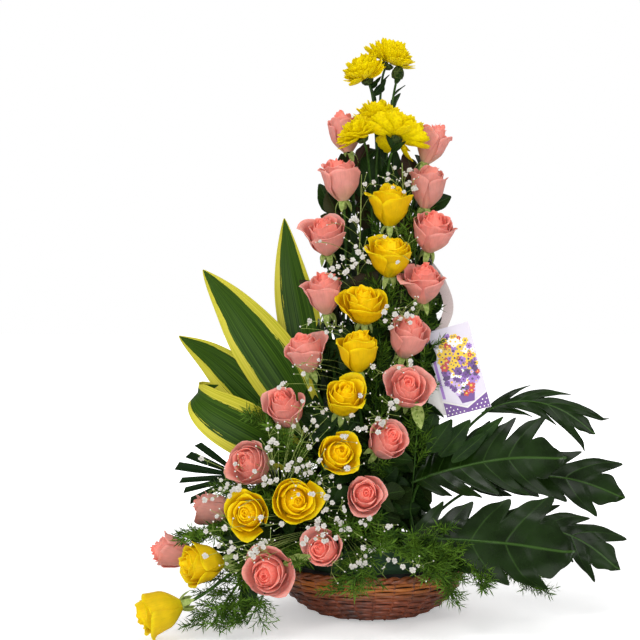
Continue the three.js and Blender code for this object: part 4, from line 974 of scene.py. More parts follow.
# %% The leaves that the solids or the photo place
# leaves as the solids have them: stem in its bundle, share along the stem, bearing, lift, size, twist, brown
ROSE_LEAVES = {
    "left": [(1, 0.9, 172, 62, 46, 0.6, 0.55), (2, 0.8, 170, 20, 40, 0.4, 0.5), (0, 0.6, 60, 40, 76, 0.2, 0.2),
             (3, 0.7, -170, 20, 48, 0.3, 0.2), (0, 0.35, 40, 35, 80, 0.3, 0.0), (0, 0.93, -10, 62, 40, 0.4, 0.9)],
    "middle": [(0, 0.8, 150, 40, 53, 0.3, 0.3), (2, 0.7, 60, 30, 72, 0.1, 0.0), (3, 0.6, 180, 10, 62, 0.5, 0.0),
               (4, 0.6, 8, 0, 68, 0.3, 0.1), (6, 0.7, -40, -20, 60, 0.3, 0.0)],
    "right": [(1, 0.93, 0, 15, 34, 0.2, 0.25), (0, 0.93, 170, 70, 42, 0.6, 0.9), (2, 0.8, 30, -10, 42, 0.2, 0.1),
              (4, 0.6, 10, -15, 46, 0.3, 0.0), (5, 0.6, 20, -30, 66, 0.0, 0.0)],
    "low": [(2, 0.5, -110, -20, 56, 0.3, 0.0), (0, 0.6, 120, 20, 66, 0.2, 0.2)],
    "front": [(1, 0.6, -10, 20, 60, 0.2, 0.0)],
}
# leaves of one blade that the photo shows: foot, tip, half width, and the finish, pale like a sepal or dark
PALE, DARK = 1, 2
SINGLE_LEAVES = {
    "left": [
        ((-48, 4, 512), (-65, -2, 551), 13, DARK), ((-12, 20, 537), (-18, 14, 584), 10, DARK),
        ((-23, 8, 471), (-30, 2, 512), 9, DARK)],
    "middle": [
        ((1, 18, 553), (-5, 12, 599), 11, DARK), ((16, 26, 559), (15, 20, 603), 11, DARK),
        ((30, 20, 553), (33, 14, 600), 11, DARK), ((6, 20, 513), (2, 14, 568), 12, DARK),
        ((25, 26, 525), (24, 20, 587), 12, DARK), ((38, 20, 511), (43, 14, 565), 11, DARK)],
    "right": [
        ((52, -74, 274), (60, -82, 240), 8, PALE), ((76, 6, 521), (105, 0, 535), 12, DARK),
        ((72, -44, 207), (101, -50, 248), 13, DARK), ((87, -36, 201), (125, -42, 247), 13, DARK),
        ((102, -40, 194), (147, -46, 233), 9, DARK), ((116, -34, 206), (167, -40, 251), 8, DARK),
        ((67, -40, 222), (81, -46, 258), 12, DARK)],
    "low": [
        ((-146, -128, 66), (-156, -142, 22), 11, DARK), ((-135, -108, 107), (-188, -114, 108), 9, DARK),
        ((-163, -96, 56), (-157, -102, 111), 8, PALE), ((-151, -96, 78), (-187, -102, 121), 10, DARK),
        ((-143, -104, 97), (-196, -110, 98), 7, DARK), ((-167, -100, 63), (-177, -106, 107), 8, PALE),
        ((-150, -106, 84), (-206, -112, 86), 8, DARK), ((-150, -100, 104), (-200, -108, 122), 8, DARK)],
    "front": [((-108, -136, 84), (-77, -154, 97), 7, PALE)],
}
TOWARDS_VIEWER = np.array([0.1, -1.0, 0.3])


def single_leaf(shape, base, tip, half, finish):
    way = np.array(tip, float) - base
    size = float(np.linalg.norm(way))
    way /= size
    blade = leaflet((0, 0), (0, size), half, 3, 12, 7)
    shape.skin(put(blade, base, way, facing_out(way, TOWARDS_VIEWER)), 0.5, finish=finish)


print("leaves of one blade:", sum(len(leaves) for leaves in SINGLE_LEAVES.values()))

# %% Dress each bundle: stems, cups, sepals and leaves, with more leaves where there is room
# The column of foliage is widest low down: the level, how far left its middle lies, how wide it is, and
# where its front is. Leaves that would stand in front of the blooms are not grown.
COLUMN_Z = [60, 120, 200, 300, 400, 500, 600, 660]
COLUMN_X = [-60, -45, -20, 5, 14, 18, 24, 24]
COLUMN_WIDE = [130, 130, 112, 92, 80, 72, 62, 30]
COLUMN_FRONT = [-150, -132, -96, -84, -64, -44, -12, 0]
COLUMN_BACK, COLUMN_TOP = 70, 655
LOWEST_STALK, HIGHEST_STALK = FOAM_TOP + 12, 600
LOWEST_LEAF = 8
BROWN_ABOVE = 330  # young leaves, tinted brown, are more common up here
FILL_LEAVES = {"left": 150, "middle": 150, "right": 150, "low": 70, "front": 24}
TRIES = 9000


def in_column(points):
    """True for each point that lies inside the column of foliage."""
    x, y, z = points.T
    aside = np.abs(x - np.interp(z, COLUMN_Z, COLUMN_X))
    front = np.interp(z, COLUMN_Z, COLUMN_FRONT)
    return (aside < np.interp(z, COLUMN_Z, COLUMN_WIDE)) & (y > front) & (y < COLUMN_BACK) & (z < COLUMN_TOP)


def in_sweep(points):
    """True for each point that lies inside the foliage of the low sweep to the left."""
    x, y, z = points.T
    return (y > -165) & (y < 10) & (z < 180 + x / 2) & (x > -215)


def stalk_spot(group, paths, chance):
    """A spot on one of the stems, or nothing where the chosen level has no stem."""
    level = chance.uniform(LOWEST_STALK, HIGHEST_STALK)
    tall = [path for path in paths if path[-1][2] > level]
    if group in ("low", "front"):
        path = chance.choice(paths)
        return on_path(path, chance.uniform(0.15, 0.97))
    if not tall:
        return None
    path = chance.choice(tall)
    return on_path(path, share_at(path, level))


def fill_leaf(shape, group, paths, chance):
    """Tries to grow one leaf of the filling, and returns the line of its midrib if there is room."""
    point = stalk_spot(group, paths, chance)
    if point is None or point[2] < LOWEST_STALK:
        return None
    outward = math.degrees(math.atan2(point[1] + 20, point[0] - np.interp(point[2], COLUMN_Z, COLUMN_X)))
    direction = facing(outward + chance.uniform(-110, 110), chance.uniform(-35, 65))
    size = chance.uniform(34, 56)
    tips = [point + direction * size * s for s in (0.3, 0.6, 0.9, 1.15)]
    normal = facing(outward + chance.uniform(-25, 25), 15)
    side = np.cross(direction, normal)
    side /= max(1e-6, np.linalg.norm(side))
    edges = [t + s * side * size * 0.3 for t in tips[1:3] for s in (-1, 1)]
    everything = np.array(tips + edges)
    inside = in_column(everything) | ((group == "low") & in_sweep(everything))
    if not (room(everything).all() and inside.all()) or everything[:, 2].min() < LOWEST_LEAF:
        return None
    twist = facing_out(direction, normal) + chance.uniform(-0.3, 0.3)
    brown = chance.choice([0, 0, 0, 0.1, 0.3, 0.7] if point[2] > BROWN_ABOVE else [0, 0, 0, 0.15])
    return rose_leaf(shape, point, direction, size, twist, brown, 7, 3)


leaf_total = 0
for group, bundle in BUNDLES.items():
    shape = Shape()
    chance = random.Random(len(group) * 31)
    paths = [rose["path"] for rose in bundle["roses"]]
    for rose in bundle["roses"]:
        calyx(shape, rose, chance)
    ribs = [rose_leaf(shape, on_path(paths[stem], share), facing(bearing, lift), size, twist, brown)
            for stem, share, bearing, lift, size, twist, brown in ROSE_LEAVES[group]]
    for one in SINGLE_LEAVES[group]:
        single_leaf(shape, *one)
    wanted = len(ribs) + FILL_LEAVES[group]
    tries = 0
    while len(ribs) < wanted and tries < TRIES:
        tries += 1
        rib = fill_leaf(shape, group, paths, chance)
        if rib is not None:
            ribs.append(rib)
    widths = [np.concatenate([[2.5, 2.4], np.linspace(2.4, 1.9, len(path) - 2)]) for path in paths]
    tubes(shape, paths, widths, 7)
    tubes(shape, ribs, [np.array([0.9, 0.6, 0.4])] * len(ribs), 5)
    finished(shape, f"rose_stems_{group}_green", "stem", [stem_green, sepal_green, rose_leaf_skin],
             f"rose_stems_{group}")
    leaf_total += len(ribs)
    print(group, "leaves:", len(ribs), "grown in", tries, "tries")
print("rose leaves:", leaf_total)

# %% The chrysanthemums' own stems, cups and closed bud
DAISY_ROOT = dict(at=(10, 34), lean=(0, -0.02, 1))
DAISY_BUD = dict(tip=np.array([36, 20, 690.0]), axis=facing(-40, 78))
BUD_PROFILE = [(1.6, 0), (6.5, 2), (7.8, 6), (7.2, 11), (4.5, 15.5), (1.5, 17.5)]  # radius and level
SCALES = 14


def scaly(shape, profile, base, axis):
    """Adds rows of small overlapping scales over a turned profile."""
    wide = 2.6 * math.pi / SCALES
    for row, ((r, z), (r2, z2)) in enumerate(zip(profile, profile[1:])):
        for s in range(SCALES):
            mid = 2 * math.pi * (s + 0.5 * (row % 2)) / SCALES
            foot = [(r + 0.15 * e) * around(mid + q * wide * 0.5) + [0, 0, z]
                    for q, e in ((-1, 0), (0, 4), (1, 0))]
            tip = [(r2 + 0.2) * around(mid + q * wide * 0.3) + [0, 0, z2 + 1.2 * (q == 0)]
                   for q in (-1, 0, 1)]
            shape.skin(put([foot, tip], base, axis)[:, ::-1], 0.5, finish=1)


shape = Shape()
root = footing(DAISY_ROOT["at"], DAISY_ROOT["lean"])
ends = [(np.array(h["base"], float), h["axis"], h["radius"] * h.get("cup", 0.25)) for h in daisy_heads]
ends.append((DAISY_BUD["tip"], DAISY_BUD["axis"], 0))
paths = []
for i, (base, axis, cup) in enumerate(ends):
    aside = around(2 * math.pi * i / len(ends)) * 4.0
    end = base + axis * (-5 if cup else 4)
    paths.append(stalk_path(root, end, axis, STEPS, 0.9, 0.04, aside))
    cup_profile = [(1.6, -7.5), (cup * 0.75, -6), (cup * 1.05, -3), (cup * 1.15, -0.5), (cup * 0.6, 0.5)]
    scaly(shape, cup_profile if cup else BUD_PROFILE, base, axis)
tubes(shape, paths, [np.linspace(1.9, 1.5, len(path)) for path in paths], 6)
chance = random.Random(5)
for path in paths:
    for share in (0.72, 0.8, 0.88, 0.94):
        point = on_path(path, share + chance.uniform(-0.03, 0.03))
        direction = facing(chance.uniform(0, 360), chance.uniform(30, 65))
        size = chance.uniform(16, 30)
        if room([point + direction * size * s for s in (0.3, 0.7, 1.0)]).all():
            grid = leaflet((0, 0), (0, size), size * 0.2, 5, 9, 5)
            shape.skin(put(grid, point, direction, chance.uniform(0, 6)), 0.5, finish=2)
finished(shape, "chrysanthemum_stems_green", "stem", [stem_green, cup_green, rose_leaf_skin],
         "chrysanthemum_stems")
print("chrysanthemum stems:", len(paths))

# %% [markdown]
# ## Striped leaves
#
# These broad pointed blades belong to a variegated foliage plant. The middle is dark green with fine parallel
# veins that run the whole length, and each margin is a yellow-lime band of its own width. A blade rises from
# a short stalk, is shallowly cupped, and its edge waves a little. Each is one fine grid along a curved rib.

# %% A curve through points, and the frame of a leaf along it
def catmull(points, steps):
    """Points and directions spread evenly along a curve through the given ones."""
    p = np.asarray(points, float)
    ends = np.concatenate([[2 * p[0] - p[1]], p, [2 * p[-1] - p[-2]]])
    t = np.linspace(0, 1, 24, endpoint=False)[:, None]
    dense = [0.5 * (2 * b + (c - a) * t + (2 * a - 5 * b + 4 * c - d) * t**2 + (3 * b - a - 3 * c + d) * t**3)
             for a, b, c, d in zip(ends, ends[1:], ends[2:], ends[3:])]
    dense = np.concatenate(dense + [p[-1:]])
    far = np.concatenate([[0], np.cumsum(np.linalg.norm(np.diff(dense, axis=0), axis=1))])
    want = np.linspace(0, far[-1], steps)
    points = np.stack([np.interp(want, far, dense[:, k]) for k in range(3)], axis=1)
    return points, unit(np.gradient(points, axis=0))


def leaf_frame(along, across):
    """The side and the face of a leaf at each point of its rib."""
    across = np.asarray(across, float)
    side = unit(across - (along @ across)[..., None] * along)
    return side, np.cross(side, along)


def sheet_grid(line, side, half, columns):
    """A grid across a line, to a half width on both sides."""
    u = np.linspace(-1, 1, columns)[None, :]
    return line[:, None] + side[:, None] * (u * half)[..., None]


# the width of the yellow margins is a share of the blade's, on the left and the right
STRIPED_LEAVES = {
    "tall": dict(rib=[(-75, 22, 262), (-88, 34, 350), (-104, 34, 440), (-112, 24, 508)],
                 across=(1, -0.15, 0.1), half=29, root=(-44, 30), left=0.17, right=0.10),
    "broad": dict(rib=[(-66, -2, 222), (-112, 6, 300), (-168, 6, 380), (-216, -8, 439)],
                  across=(0.8, -0.3, 0.62), half=41, root=(-56, 16), left=0.15, right=0.20),
    "side": dict(rib=[(-92, 32, 212), (-140, 42, 262), (-200, 42, 318), (-251, 26, 353)],
                 across=(0.6, -0.3, 0.76), half=34, root=(-64, 34), left=0.20, right=0.13),
    "curled": dict(rib=[(-86, -26, 190), (-140, -44, 226), (-204, -44, 262), (-222, -22, 280),
                        (-196, -12, 290)],
                   across=(0.5, -0.2, 0.82), half=36, root=(-70, 4), left=0.17, right=0.22),
}

striped_skin = leaf = Finish("striped leaf")
uv = leaf.uv()
# the boundary between green and yellow is ragged along the veins, by up to about 4 mm
ragged = leaf.noise(leaf.stretch(uv, (14, 2.5, 1)), 1.0, 4.0, Roughness=0.7)
shift = leaf.math("MULTIPLY_ADD", ragged, 0.22, -0.11)
moved = leaf.math("ADD", leaf.one("ShaderNodeSeparateXYZ", {0: uv}, "X"), shift)
first = leaf.math("LESS_THAN", moved, leaf.mark("depth"))
second = leaf.math("GREATER_THAN", moved, leaf.math("SUBTRACT", 1.0, leaf.mark("tone")))
vein = leaf.noise(leaf.stretch(uv, (46, 1.2, 1)), 1.0, 2.0)
green = leaf.ramp(vein, (0.35, "#1c350a"), (0.72, "#456519"))
lime = leaf.ramp(vein, (0.3, "#a9a61c"), (0.7, "#d6cc4e"))
leaf.look({**LEAFY, "Roughness": 0.36, "Normal": leaf.bump(vein, 0.4, 0.0006),
           "Base Color": leaf.mix(leaf.math("MAXIMUM", first, second), green, lime)})

STALK_WIDTH = 2.0


def stalk(shape, at, target, end, axis, steps=14):
    """Adds the stalk of a leaf, from a hole in the foam to the foot of the blade."""
    path = stalk_path(footing_towards(at, target), end, axis, steps, 0.3, 0.3)
    tubes(shape, [path], [STALK_WIDTH], 8, finish=1)


for name, leaf in STRIPED_LEAVES.items():
    rib, along = catmull(leaf["rib"], 44)
    side, face = leaf_frame(along, leaf["across"])
    u, v = across_along(44, 13)
    swell = np.clip(np.sin(np.pi * (0.04 + 0.96 * v) ** 0.85), 0, None) ** 0.8
    width = np.maximum(0.6, leaf["half"] * swell)
    rise = np.abs(u) * width * 0.22 + 1.3 * np.sin(17 * v + 2.5 * np.sign(u)) * u**4
    grid = sheet_grid(rib, side, width, 13) + face[:, None] * rise[..., None]
    shape = Shape()
    shape.skin(grid, 0.8, (leaf["left"], leaf["right"]))
    stalk(shape, leaf["root"], leaf["rib"][0], rib[2], along[0])
    finished(shape, f"striped_leaf_{name}_blade", "striped", [striped_skin, stem_green],
             f"striped_leaf_{name}")
print("striped leaves:", len(STRIPED_LEAVES))

# %% [markdown]
# ## Lobed leaves
#
# The large glossy leaves on the right are cut nearly to the rib into long finger-like lobes that lean towards
# the tip. Each lobe is a smooth tongue with its own vein. Each half of a blade is one grid from the rib to
# the lobed edge, so a leaf is its two halves and a tube along the rib.

# %% The lobed leaves and their material
LOBED_LEAVES = {
    "arching": dict(rib=[(150, 38, 250), (225, 34, 292), (294, 30, 226)], across=(-0.1, 0.3, 0.95), half=30,
                    lobes=3, slant=0.5, neck=0.16, gap=0.4, droop=5, blunt=0.7, root=(50, 32)),
    "upper": dict(rib=[(52, -28, 166), (150, -44, 208), (236, -30, 196)], across=(-0.05, 0.45, 0.9), half=56,
                  lobes=5, slant=0.25, neck=0.3, gap=0.2, droop=12, blunt=0.6, root=(52, -10)),
    "far": dict(rib=[(130, 30, 150), (240, 26, 190), (325, 14, 142)], across=(0, 0.35, 0.94), half=40,
                lobes=4, slant=0.25, neck=0.36, gap=0.16, droop=14, blunt=0.7, root=(70, 24)),
    "front": dict(rib=[(38, -94, 106), (136, -112, 112), (230, -112, 92)], across=(0, 0.55, 0.83), half=58,
                  lobes=4, slant=0.2, neck=0.42, gap=0.13, droop=12, blunt=0.42, root=(16, -60)),
    "low": dict(rib=[(142, -6, 100), (248, -20, 128), (310, -24, 58)], across=(0, 0.3, 0.95), half=34,
                lobes=4, slant=0.26, neck=0.36, gap=0.18, droop=12, blunt=0.7, root=(74, -14)),
}
lobed_skin = leaf = Finish("lobed leaf")
lobe_vein = leaf.span(leaf.mark("depth"), 0.0, 0.09, 0.4, 0.0)
midrib = leaf.span(leaf.mark("tone"), 0.0, 0.04, 0.9, 0.0)
lines = leaf.math("MAXIMUM", midrib, lobe_vein)
cloud = leaf.noise(leaf.place(), 28.0, 4.0)
ground = leaf.ramp(cloud, (0.3, "#0a1802"), (0.7, "#172d06"))
leaf.look({**LEAFY, "Specular IOR Level": 0.16, "Roughness": leaf.span(cloud, 0.3, 0.7, 0.2, 0.36),
           "Base Color": leaf.mix(lines, ground, "#3c5b24"),
           "Normal": leaf.bump(lines, 0.4, 0.0008, invert=True)})
print("material:", lobed_skin.material.name)

# %% Build the lobed leaves
LOBES_FROM, LOBES_SPAN = 0.02, 0.72  # where the side lobes stand along the rib
LEAF_END = 1.12  # how far the end lobe reaches past the rib, as a share of the rib


def lobed_leaf(shape, leaf, chance):
    """Adds both halves of the blade, the rib itself and the stalk."""
    a, b, c = [np.array(p, float) for p in leaf["rib"]]
    half, lobes, slant, droop = leaf["half"], leaf["lobes"], leaf["slant"], leaf["droop"]

    def surface(t, x):
        """Points of the leaf at a share of its rib and a distance to the side, and its face there."""
        t, x = np.broadcast_arrays(np.asarray(t, float), np.asarray(x, float))
        s = np.clip(t, 0, 1)[..., None]
        middle, along = arc(a, b, c, s), unit((1 - s) * (b - a) + s * (c - b))
        side, face = leaf_frame(along, leaf["across"])
        far = np.abs(x) / half
        lift = half * (0.16 * far - 0.3 * far**2)
        extra = np.maximum(0, t - 1) * half * 1.5
        return middle + side * x[..., None] + face * lift[..., None] + along * extra[..., None], face

    def reach(t):
        return half * np.sin(np.pi * (0.22 + 0.56 * np.clip(t, 0, 1)))

    def neck_at(t):
        return leaf["neck"] + 0.2 * np.clip((t - LOBES_FROM) / LOBES_SPAN, 0, 1)

    def lean_on(x):
        """How far a point is carried towards the tip, as lobes slant forwards."""
        return slant * (x / half) ** 1.25

    def lobe(i, v):
        """One side lobe: share of the rib, distance to the side, nearness to its vein, and bend."""
        last = i == lobes - 1
        middle, wide = (edges[i] + edges[i + 1]) / 2, (edges[i + 1] - edges[i]) / 2
        q = np.linspace(-1, 1, 15)[None, :]
        q = q if last else q[:, :-1]
        neck = neck_at(middle)
        foot = reach(middle + q * wide) * neck_at(middle + q * wide)
        peak = reach(middle) * (chance.uniform(1.0, 1.14) if last else chance.uniform(0.84, 1.04))
        lean = chance.uniform(0.25, 0.55)
        bulge = 0.80 + 0.22 * np.exp(-(((q - lean) / 0.42) ** 2))
        profile = np.clip(1 - np.abs(q) ** 5, 0, 1) ** 0.6 * bulge
        x = (foot + (peak - foot) * profile) * v
        far = np.clip((x / peak - neck) / (1 - neck), 0, 1)
        t = middle + q * wide * (1 - leaf["gap"] * far**0.8) + lean_on(x)
        tilt = chance.uniform(1.5, 4.0)
        bend = (chance.uniform(-0.4, 1.0) * droop * far**1.5 + tilt * q * far
                + 1.6 * (np.abs(q) - 0.5) * np.sin(np.pi * v))
        return t, x, np.abs(q - 0.15 * far) + 0 * v, bend

    def end_lobe(v):
        w = np.linspace(0, 1, 16)[None, 1:]
        width = float(reach(edges[-1]) * neck_at(edges[-1]))
        width = width * (1 + 0.34 * np.sin(np.pi * np.clip(w * 1.6, 0, 1)))
        x = np.maximum(width * np.clip(1 - w, 0, 1) ** leaf["blunt"], 0.4) * v
        t = edges[-1] + (LEAF_END - edges[-1]) * w + lean_on(x) * (1 - w) ** 1.5
        return t, x, 0.6 + 0 * x, droop * w**2 + 2.0 * np.sin(5 * w) * v

    # lobes are narrow near the foot and broad towards the tip, which is one large pointed lobe
    edges = LOBES_FROM + LOBES_SPAN * (np.arange(lobes + 1) / lobes) ** 1.3
    v = np.linspace(0, 1, 12)[:, None]
    for s in (-1, 1):
        parts = [lobe(i, v) for i in range(lobes)] + [end_lobe(v)]
        t, x, q, bend = [np.concatenate(part, axis=1) for part in zip(*parts)]
        points, face = surface(t, s * x)
        points = points - face * (bend + 1.1 * np.sin(11 * t + 5 * x / half))[..., None]
        marks = np.stack([q, x / half], axis=2)
        shape.skin(points[:, ::-s], 0.8, marks[:, ::-s])
    t = np.linspace(0, 1.0, 30)
    rib, face = surface(t, 0 * t)
    end = np.clip((t - edges[-1]) / (LEAF_END - edges[-1]), 0, 1)
    rib = rib - face * (droop * end**2)[:, None]
    tubes(shape, [rib[:27]], [np.linspace(1.5, 0.3, 27)])
    stalk(shape, leaf["root"], a, rib[3], unit(rib[1] - rib[0]), 16)


chance = random.Random(12)
for name, leaf in LOBED_LEAVES.items():
    shape = Shape()
    lobed_leaf(shape, leaf, chance)
    finished(shape, f"lobed_leaf_{name}_blade", "lobed", [lobed_skin, stem_green], f"lobed_leaf_{name}")
print("lobed leaves:", len(LOBED_LEAVES), "triangles in one:", added_triangles["lobed_leaf_upper_blade"])

# %% [markdown]
# ## The palm fan
#
# A fan palm leaf trimmed short: strips that part near the stalk, each folded along its middle and cut square.

# %% Build the palm fan
PALM_HUB = np.array([-168, 26, 168.0])
PALM_ROOT = (-60, 46)
# length, bearing and width of each strip
PALM_STRIPS = [(72, 143, 9), (76, 157, 10), (86, 170, 11), (80, 183, 7), (77, 193, 7), (74, 205, 8)]
palm_skin = grained("palm strip", (0.35, "#0b1c08"), (0.75, "#1e3814"), (22, 0.8, 1),
                    {**LEAFY, "Roughness": 0.45}, on_uv=True, relief=(0.5, 0.0005))

shape = Shape()
for length, bearing, widest in PALM_STRIPS:
    a = math.radians(bearing)
    u, v = across_along(14, 7)
    far = 4 + (length - 4) * v + 2.2 * u * v**8
    wide = np.minimum(widest, 0.15 * far + 1.6) / 2
    fold = 1.6 * np.abs(u) - 1.2 - far * 0.14
    x, z = far * math.cos(a) - u * wide * math.sin(a), far * math.sin(a) + u * wide * math.cos(a)
    shape.skin(PALM_HUB + np.stack([x, fold, z], axis=2), 0.8)
stalk(shape, PALM_ROOT, PALM_HUB, PALM_HUB + [-6, 0, 0], np.array([-0.98, 0, 0.2]))
finished(shape, "palm_fan_strips", "palm", [palm_skin, stem_green], "palm_fan")
print("palm strips:", len(PALM_STRIPS))

# %% [markdown]
# ## Asparagus fern
#
# Its branches arch over the rim. Each carries many side shoots and each shoot carries whorls of soft needles
# a centimetre long. One whorl of four needles is modelled and a tree sets it along every shoot.

# %% The whorl of needles
asparagus_green = grained("asparagus needle", (0.3, "#24400f"), (0.7, "#5d7f25"), 60.0,
                          {**LEAFY, "Roughness": 0.5})
RISE = np.array([0, 0, 1.0])


def whorl(count, length, width, lean):
    """Needles around +Z: flat three-sided blades that lean outwards and forwards."""
    points, faces = [], []
    for i in range(count):
        a = 2 * math.pi * i / count
        side = np.array([-math.sin(a), math.cos(a), 0])
        bend = around(a) * math.sin(lean) + RISE * math.cos(lean)
        over = np.cross(bend, side)
        s = len(points)
        for share, wide in ((0.04, 0.55), (0.5, 1.0)):
            middle = bend * length * share + RISE * 0.6 * share
            points += [middle - side * width * wide, middle + over * width * 0.5 * wide,
                       middle + side * width * wide]
        points.append(bend * length * 0.96 + RISE * length * 0.16)
        needle = [(0, 2, 1), (0, 1, 4, 3), (1, 2, 5, 4), (2, 0, 3, 5), (3, 4, 6), (4, 5, 6), (5, 3, 6)]
        faces += [tuple(s + i for i in face) for face in needle]
    return points, faces


whorl_model = model_object(*whorl(4, 11, 0.74, 0.95), "whorl")
print("points in a whorl:", len(whorl_model.data.vertices))

# %% The sprays that carry it
# each spray's branches: the solid's own one first, then finer ones that fill between the blooms
ASPARAGUS = {
    "left": dict(seed=21, root=(-46, -52), shoots=(34, 44, 34, 34, 22, 30), mains=[
        [(-84, -84, 100), (-138, -98, 86), (-168, -120, 50), (-192, -160, 16)],
        [(-70, -66, 120), (-120, -84, 136), (-175, -98, 126), (-222, -112, 96)],
        [(-64, -88, 104), (-96, -118, 92), (-130, -148, 52), (-150, -172, 20)],
        [(-60, -60, 130), (-92, -78, 190), (-120, -84, 236), (-140, -70, 250)],
        [(-36, 44, 104), (-56, 72, 98), (-76, 88, 84), (-86, 96, 70)],
        [(-62, -62, 118), (-108, -72, 146), (-152, -78, 158), (-196, -80, 148)],
    ]),
    "front": dict(seed=22, root=(26, -70), shoots=(20, 28, 34, 44), mains=[
        [(26, -92, 108), (10, -130, 106), (-14, -150, 84), (-30, -158, 58)],
        [(36, -88, 104), (54, -118, 98), (72, -136, 82), (84, -142, 64)],
        [(14, -78, 120), (-14, -104, 128), (-50, -124, 112), (-78, -136, 92)],
        [(20, -60, 120), (6, -64, 210), (6, -62, 300), (14, -52, 400), (22, -38, 480)],
    ]),
    "right": dict(seed=23, root=(60, -36), shoots=(16, 16, 44, 22, 22), mains=[
        [(76, -44, 100), (108, -66, 96), (150, -72, 72), (200, -82, 44)],
        [(64, -52, 110), (92, -84, 104), (118, -104, 76), (132, -112, 52)],
        [(50, -30, 130), (56, -52, 220), (62, -50, 320), (58, -42, 420), (50, -30, 520)],
        [(52, -56, 106), (72, -80, 96), (94, -88, 82), (108, -80, 70)],
        [(40, 40, 106), (62, 68, 98), (84, 82, 84), (96, 88, 70)],
    ]),
}
SPRAY_FRONT, SPRAY_BACK, SPRAY_FOOT = -185, 116, 12  # no shoot leaves these bounds


def rooted(at, path, target):
    """A path with its root in the foam put before it."""
    point, direction, foot = footing_towards(at, target)
    return np.concatenate([[foot, point + direction * 4], path])


def side_shoots(path, along, count, lengths, chance, start=0.15):
    """Side shoots that leave a branch to both sides and upwards, where no bloom is in the way."""
    made = []
    t = np.linspace(0, 1, 5)[:, None]
    for i in range(count):
        for attempt in range(6):
            k = int((start + (1 - start) * (i + chance.random()) / count) * (len(path) - 1))
            side = np.cross(along[k], RISE)
            side /= max(np.linalg.norm(side), 1e-6)
            a = (1 if i % 2 else -1) * chance.uniform(0.35, 1.3)
            out = unit(along[k] * 0.7 + side * math.sin(a) + RISE * chance.uniform(-0.1, 0.75))
            length = chance.uniform(*lengths)
            line = path[k] + out * length * t - RISE * 0.12 * length * t**2
            y, z = line[:, 1], line[:, 2]
            inside = z.min() > SPRAY_FOOT and y.min() > SPRAY_FRONT and y.max() < SPRAY_BACK
            if inside and room(line[1:], 2.0).all():
                made.append(line)
                break
    return made


for name, one in ASPARAGUS.items():
    chance = random.Random(one["seed"])
    stems, shoots, twigs = [], [], []
    for k, (main, count) in enumerate(zip(one["mains"], one["shoots"])):
        path, along = catmull(main, 40)
        at = (one["root"][0] + 5 * (k % 2), one["root"][1] + 4 * k)
        stems.append(rooted(at, path, main[0]))
        grown_here = side_shoots(path, along, count, (22, 42), chance)
        shoots += grown_here
        for line in grown_here:
            twigs += side_shoots(line, unit(np.gradient(line, axis=0)), 3, (9, 18), chance, 0.3)
    shape = Shape()
    tubes(shape, stems, [1.5] + [0.8] * (len(stems) - 1), finish=1)
    tubes(shape, shoots + twigs, [0.35] * len(shoots + twigs), 3, finish=1)
    copies_along(shape, shoots + twigs, whorl_model, 5.2, (0.7, 1.1), one["seed"])
    finished(shape, f"asparagus_{name}_needles", "fern", [asparagus_green, stem_green], f"asparagus_{name}")
print("asparagus triangles:", {name: added_triangles[f"asparagus_{name}_needles"] for name in ASPARAGUS})

# %% [markdown]
# ## Baby's breath
#
# Thin forked threads end in small double florets, white and crumpled, five to eight millimetres across, with
# closed buds beside them. They stand in front of the blooms and leaves, in little groups.

# %% Florets and buds
floret_white = Finish("white floret")
floret_white.look({"Base Color": "#d8d5ce", "Roughness": 0.6, "Subsurface Weight": 0.25,
                   "Subsurface Radius": (1.0, 1.0, 0.9), "Subsurface Scale": 0.001})
# petals, tilt and length of each ring of a floret
FLORET_RINGS = [(5, 1.25, 1.0), (5, 0.75, 0.85), (4, 0.3, 0.7)]
# one notched petal: its outline as shares of length, width and height, its faces and its rim
FLORET_PETAL = [(0.05, -0.25, 0), (0.05, 0.25, 0), (0.65, -1, 0.12), (0.7, 0, 0), (0.65, 1, 0.12),
                (1.0, -0.6, 0), (0.9, 0, 0.05), (1.0, 0.6, 0)]
FLORET_FACES = [(0, 1, 3), (0, 3, 2), (1, 4, 3), (2, 3, 6, 5), (3, 4, 7, 6)]
FLORET_RIM = [0, 2, 5, 6, 7, 4, 1]


def floret(chance, size):
    """A double floret about +Z, of three rings of small notched petals."""
    points, faces = [], []
    for ring, (count, tilt, length) in enumerate(FLORET_RINGS):
        for i in range(count):
            a = 2 * math.pi * (i + 0.5 * ring) / count + chance.uniform(-0.2, 0.2)
            t = tilt + chance.uniform(-0.25, 0.2)
            out = around(a) * math.sin(t) + RISE * math.cos(t)
            side = np.array([-math.sin(a), math.cos(a), 0])
            over = np.cross(out, side)
            L, W, s = size * length, size * 0.42, len(points)
            points += [out * l * L + side * w * W + over * (h * L - back)
                       for back in (0, 0.25) for l, w, h in FLORET_PETAL]
            faces += [tuple(s + i for i in face) for face in FLORET_FACES]
            faces += [tuple(s + 8 + i for i in reversed(face)) for face in FLORET_FACES]
            faces += [(s + p, s + q, s + 8 + q, s + 8 + p) for p, q in zip(FLORET_RIM, FLORET_RIM[1:] + [0])]
    return points, faces


BUD = 1.6
bud_profile = [(BUD * r, BUD * z) for r, z in [(0.35, 0.1), (0.75, 0.5), (0.6, 0.95)]]
bud_model = model_object(*turned_body(bud_profile, 0, BUD * 1.3, 5), "bud")
floret_models = [model_object(*floret(random.Random(i), 3.3), f"floret_{i}") for i in range(3)]
print("points in a floret:", len(floret_models[0].data.vertices))

